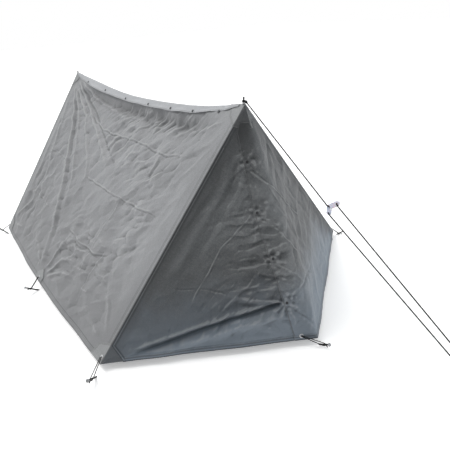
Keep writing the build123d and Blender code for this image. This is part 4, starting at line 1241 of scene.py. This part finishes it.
def rope(name, points, strands=3, step=0.0022, lay=0.0125, sides=7, d0=ROPE_D):
    raw = route_line(points)
    line, length = even(raw, step)
    t, u, w = carried(line)
    d = np.linspace(0, length, len(line))
    verts, faces = [], []
    r_strand, r_helix = 0.271 * d0, 0.253 * d0
    for s in range(strands):
        ph = 2 * math.pi * (d / lay + s / strands)
        c = line + r_helix * (np.cos(ph)[:, None] * u + np.sin(ph)[:, None] * w)
        n0 = len(verts)
        for k in range(len(c)):
            for j in range(sides):
                a = 2 * math.pi * j / sides
                verts.append(c[k] + r_strand * (math.cos(a) * u[k] + math.sin(a) * w[k]))
        for k in range(len(c) - 1):
            for j in range(sides):
                a, b = n0 + k * sides + j, n0 + k * sides + (j + 1) % sides
                faces.append((a, b, b + sides, a + sides))
        for k, rev in ((0, True), (len(c) - 1, False)):
            f = [n0 + k * sides + j for j in range(sides)]
            faces.append(tuple(f[::-1]) if rev else tuple(f))
    me = bpy.data.meshes.new(name)
    me.from_pydata([tuple(map(float, v)) for v in verts], [], faces)
    me.polygons.foreach_set("use_smooth", np.ones(len(me.polygons), bool))
    me.update()
    ob = bpy.data.objects.new(name, me)
    bpy.context.scene.collection.objects.link(ob)
    ob.data.materials.append(ROPE)
    return ob, line, length


def with_run(points, where):
    """Adds the one point that a long straight run has, 27 mm from the hook it pulls on."""
    pts = [np.array(p, float) for p in points]
    out = []
    for i, p in enumerate(pts):
        if i in where and i > 0 and where[i] < 0:
            out.append(p + unit(pts[i - 1] - p) * 0.027)
        out.append(p)
        if i in where and where[i] > 0:
            out.append(p + unit(pts[i + 1] - p) * 0.027)
    return out


LOOPS = {
    "front_left": [(-0.90139, -0.94817, 0.06502), (-0.99165, -1.01217, 0.0288), (-0.98259, -1.02312, 0.02721),
                   (-0.89786, -0.95336, 0.06625)],
    "front_right": [(0.8987, -0.95374, 0.06636), (0.95828, -0.98981, 0.00187), (0.96693, -0.97878, 0.00467),
                    (0.90055, -0.94779, 0.06491)],
    "rear_left": [(-0.89911, 0.95392, 0.06582), (-0.967, 0.96928, 0.02589), (-0.97218, 0.95726, 0.03165),
                  (-0.90014, 0.94761, 0.06545)],
    "rear_right": [(0.90139, 0.94817, 0.06502), (0.99165, 1.01217, 0.0288), (0.98259, 1.02312, 0.02721),
                   (0.89786, 0.95336, 0.06625)],
    "mid_left": [(-0.93787, 0.00249, 0.05601), (-1.01433, -0.06076, 0.02568), (-1.00799, -0.07111, 0.03324),
                 (-0.93404, -0.00249, 0.05725)],
    "mid_right": [(0.93692, -0.00304, 0.05638), (1.03081, 0.02602, 0.0263), (1.02739, 0.0393, 0.03038),
                  (0.935, 0.00304, 0.05688)],
    "front_apex": [(-0.06867, -1.5145, 0.05566), (-0.00093, -1.61175, 0.01395), (0.01007, -1.60643, 0.02138),
                   (-0.0682, -1.51658, 0.06169)],
    "rear_apex": [(0.06867, 1.5145, 0.05566), (0.00093, 1.61175, 0.01395), (-0.01007, 1.60643, 0.02138),
                  (0.0682, 1.51658, 0.06169)],
}
PEGS = {
    "front_left_peg": ((-0.98317, -1.01517, 0.03342), (-0.54168, -0.54168, 0.64279)),
    "front_right_peg": ((0.95892, -0.98292, 0.00924), (0.60677, -0.60677, 0.51347)),
    "mid_left_peg": ((-1.00783, -0.061, 0.03342), (-0.76604, 0.0, 0.64279)),
    "mid_right_peg": ((1.02483, 0.03, 0.03342), (0.76604, 0.0, 0.64279)),
    "rear_left_peg": ((-0.96417, 0.96317, 0.03342), (-0.54168, 0.54168, 0.64279)),
    "rear_right_peg": ((0.98317, 1.01517, 0.03342), (0.54168, 0.54168, 0.64279)),
    "front_apex_peg": ((0.0, -1.60589, 0.02213), (0.0, -0.81291, 0.58239)),
    "rear_apex_peg": ((0.0, 1.60589, 0.02213), (0.0, 0.81291, 0.58239)),
    "guy_peg": ((0.0, -2.69183, 0.03342), (0.0, -0.76604, 0.64279)),
}
for key, pts in LOOPS.items():
    pts = with_run(pts, {1: -1, 2: 1})
    ob, line, length = rope(key + "_tie_rope", pts)
    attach(ob, {"front_apex": "front_outer_flap_body", "rear_apex": "rear_outer_flap_body"}.get(key, "root"))
    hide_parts(key + "_tie_loop")

UPPER = [(-0.00009, -1.08106, 1.14228), (-0.0069, -1.5716, 0.7841), (0.0069, -1.5716, 0.7841), (0.0069, -1.571, 0.7704)]
LOOP = [(0.0069, -1.571, 0.7704), (0.0069, -1.5704, 0.7567), (-0.0069, -1.5704, 0.7567), (-0.0079, -2.69691, 0.02737),
        (0.0079, -2.69691, 0.02737), (-0.0069, -1.6065, 0.8102), (0.0033, -1.6065, 0.8102)]
pts = with_run(UPPER, {1: -1})
ob, line, length = rope("guy_rope_upper", pts, step=0.0030, lay=0.016, d0=GUY_D)
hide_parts("guy_line_upper")
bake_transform(ob)
pts = with_run(LOOP, {2: 1, 3: -1, 4: 1, 5: -1})
ob, line, length = rope("guy_rope_loop", pts, step=0.0032, lay=0.016, d0=GUY_D)
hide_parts("guy_line_loop")
back = unit(V(*LOOP[2]) - V(*LOOP[3]))
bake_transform(ob)

# --------------------------------------------------------------------------
# Door snap studs, under their caps on the inner flap
# --------------------------------------------------------------------------
STUD = [(0.0, 0.00260), (0.0012, 0.00255), (0.0020, 0.00225), (0.0023, 0.00170), (0.0021, 0.00120), (0.0026, 0.00085),
        (0.0044, 0.00070), (0.0052, 0.00040), (0.0054, 0.0), (0.0050, -0.0006)]
for end in ("front", "rear"):
    bm = bmesh.new()
    for x, z in SNAPS:
        c = on_left(np.array([x]), np.array([z]))[0] if np.ndim(on_left(np.array([x]), np.array([z]))) > 1 else on_left(x, z)
        c = c - N_L * 0.0048
        u = unit(np.cross(N_L, V(0, 0, 1)))
        w = np.cross(N_L, u)
        rows = []
        for r, h in STUD:
            if r == 0:
                rows.append([bm.verts.new(tuple(((c + N_L * h) * (V(-1, -1, 1) if end == "rear" else 1))))])
            else:
                rows.append([bm.verts.new(tuple((c + N_L * h + r * (math.cos(a) * u + math.sin(a) * w)) * (
                    V(-1, -1, 1) if end == "rear" else 1))) for a in np.linspace(0, 2 * math.pi, 25)[:-1]])
        for k in range(24):
            bm.faces.new((rows[0][0], rows[1][k], rows[1][(k + 1) % 24]))
        for a, b in zip(rows[1:-1], rows[2:]):
            for k in range(24):
                bm.faces.new((a[k], b[k], b[(k + 1) % 24], a[(k + 1) % 24]))
        bm.faces.new(rows[-1][::-1])
    bmesh.ops.recalc_face_normals(bm, faces=bm.faces)
    me = bpy.data.meshes.new(end + "_door_studs")
    bm.to_mesh(me)
    bm.free()
    me.polygons.foreach_set("use_smooth", np.ones(len(me.polygons), bool))
    ob = bpy.data.objects.new(end + "_door_studs", me)
    bpy.context.scene.collection.objects.link(ob)
    ob.data.materials.append(SNAP_METAL)
    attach(ob, end + "_inner_flap_body")
    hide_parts(end + "_door_snap_studs")

# --------------------------------------------------------------------------
# Finishes of the CAD parts that stay
# --------------------------------------------------------------------------
dress(["front_door_snap_caps", "rear_door_snap_caps", "ridge_snap_caps", "ridge_snap_studs"], SNAP_METAL)
dress(["front_apex_eyelet", "rear_apex_eyelet", "hem_eyelets", "peak_grommets"], EYELET_METAL)
dress(["pole_ferrules"], FITTING_METAL)
dress(["front_pole_spike", "rear_pole_spike"], SPIKE_METAL)
dress(["guy_spike_eye", "guy_spike_knot", "guy_end_knot"], ROPE)
dress(["%s_pole_%s" % (e, k) for e in ("front", "rear") for k in ("lower", "middle", "upper")], WOOD)
dress(["front_pole_foot", "rear_pole_foot"], RUBBER)
dress(["guy_runner"], RUNNER)
for n, (catch, axis) in PEGS.items():
    # painted highlight: the pale grey head on these four pegs
    pale = rgb(0.42, 0.43, 0.44) if n in ("front_left_peg", "mid_left_peg", "front_apex_peg", "guy_peg") else rgb(
        0.10, 0.10, 0.105)
    dress([n], peg_material("steel_" + n, catch, axis, pale))

# --------------------------------------------------------------------------
# Floor, light and camera
# --------------------------------------------------------------------------
floor_me = bpy.data.meshes.new("floor")
floor_me.from_pydata([(-30, -30, 0), (30, -30, 0), (30, 30, 0), (-30, 30, 0)], [], [(0, 1, 2, 3)])
floor = bpy.data.objects.new("floor", floor_me)
bpy.context.scene.collection.objects.link(floor)
fm = Nodes("floor_pale")
fm.p.inputs["Base Color"].default_value = (0.93, 0.93, 0.93, 1)
fm.p.inputs["Roughness"].default_value = 0.95
fm.p.inputs["Specular IOR Level"].default_value = 0.1
fm.p.inputs["Emission Color"].default_value = (1.0, 1.0, 1.0, 1)
fm.p.inputs["Emission Strength"].default_value = 0.34
floor_me.materials.append(fm.m)

scene = bpy.context.scene
scene.view_settings.view_transform = "Standard"
world = bpy.data.worlds.new("studio")
scene.world = world
world.use_nodes = True
wt = world.node_tree
bg = wt.nodes["Background"]
# a soft white tent all round, dimmer towards the front left
wc = wt.nodes.new("ShaderNodeTexCoord")
wd = wt.nodes.new("ShaderNodeVectorMath")
wd.operation = "DOT_PRODUCT"
wd.inputs[1].default_value = (-0.58, -0.81, 0.10)
wr = wt.nodes.new("ShaderNodeMapRange")
wr.interpolation_type = "SMOOTHSTEP"
for i, val in enumerate((-0.30, 0.85, 1.05, 0.12)):
    wr.inputs[i + 1].default_value = val
wt.links.new(wc.outputs["Generated"], wd.inputs[0])
wt.links.new(wd.outputs["Value"], wr.inputs[0])
wt.links.new(wr.outputs[0], bg.inputs[1])
bg.inputs[0].default_value = (0.965, 0.985, 1.0, 1)
plain = wt.nodes.new("ShaderNodeBackground")
plain.inputs[0].default_value = (1.0, 1.0, 1.0, 1)
plain.inputs[1].default_value = 1.0
pick, path = wt.nodes.new("ShaderNodeMixShader"), wt.nodes.new("ShaderNodeLightPath")
wt.links.new(path.outputs["Is Camera Ray"], pick.inputs[0])
wt.links.new(bg.outputs[0], pick.inputs[1])
wt.links.new(plain.outputs[0], pick.inputs[2])
wt.links.new(pick.outputs[0], wt.nodes["World Output"].inputs[0])


def lamp(name, at, to, size, power, colour=(1, 1, 1)):
    li = bpy.data.lights.new(name, "AREA")
    li.shape = "DISK"
    li.size = size
    li.energy = power
    li.color = colour
    ob = bpy.data.objects.new(name, li)
    ob.location = at
    d = Vector(to) - Vector(at)
    ob.rotation_euler = d.to_track_quat("-Z", "Y").to_euler()
    scene.collection.objects.link(ob)
    return ob


sun = bpy.data.lights.new("key", "SUN")
sun.energy = 1.75
sun.angle = math.radians(24)
sun.color = (1.0, 0.985, 0.965)
so = bpy.data.objects.new("key", sun)
so.rotation_euler = (Vector((0, 0, 0)) - Vector((-0.20, 0.52, 0.86))).to_track_quat("-Z", "Y").to_euler()
scene.collection.objects.link(so)
lamp("fill", (5.5, -3.6, 2.2), (0, -0.8, 0.4), 2.6, 36, (0.82, 0.92, 1.0))

cam = bpy.data.cameras.new("camera")
cam.sensor_width = 36.0
cam.lens = 30.665
cam.clip_end = 200
co = bpy.data.objects.new("camera", cam)
right = (0.775887983701048, -0.6277434261180466, -0.06273776943675288)
upv = (0.34966614799747686, 0.34513808413090064, 0.8709840916038932)
bk = (-0.5251013442116952, -0.6977233648431368, 0.4872891179362031)
co.matrix_world = Matrix(((right[0], upv[0], bk[0], -1.18927349), (right[1], upv[1], bk[1], -2.42888603),
                          (right[2], upv[2], bk[2], 1.51516069), (0, 0, 0, 1)))
scene.collection.objects.link(co)
scene.camera = co
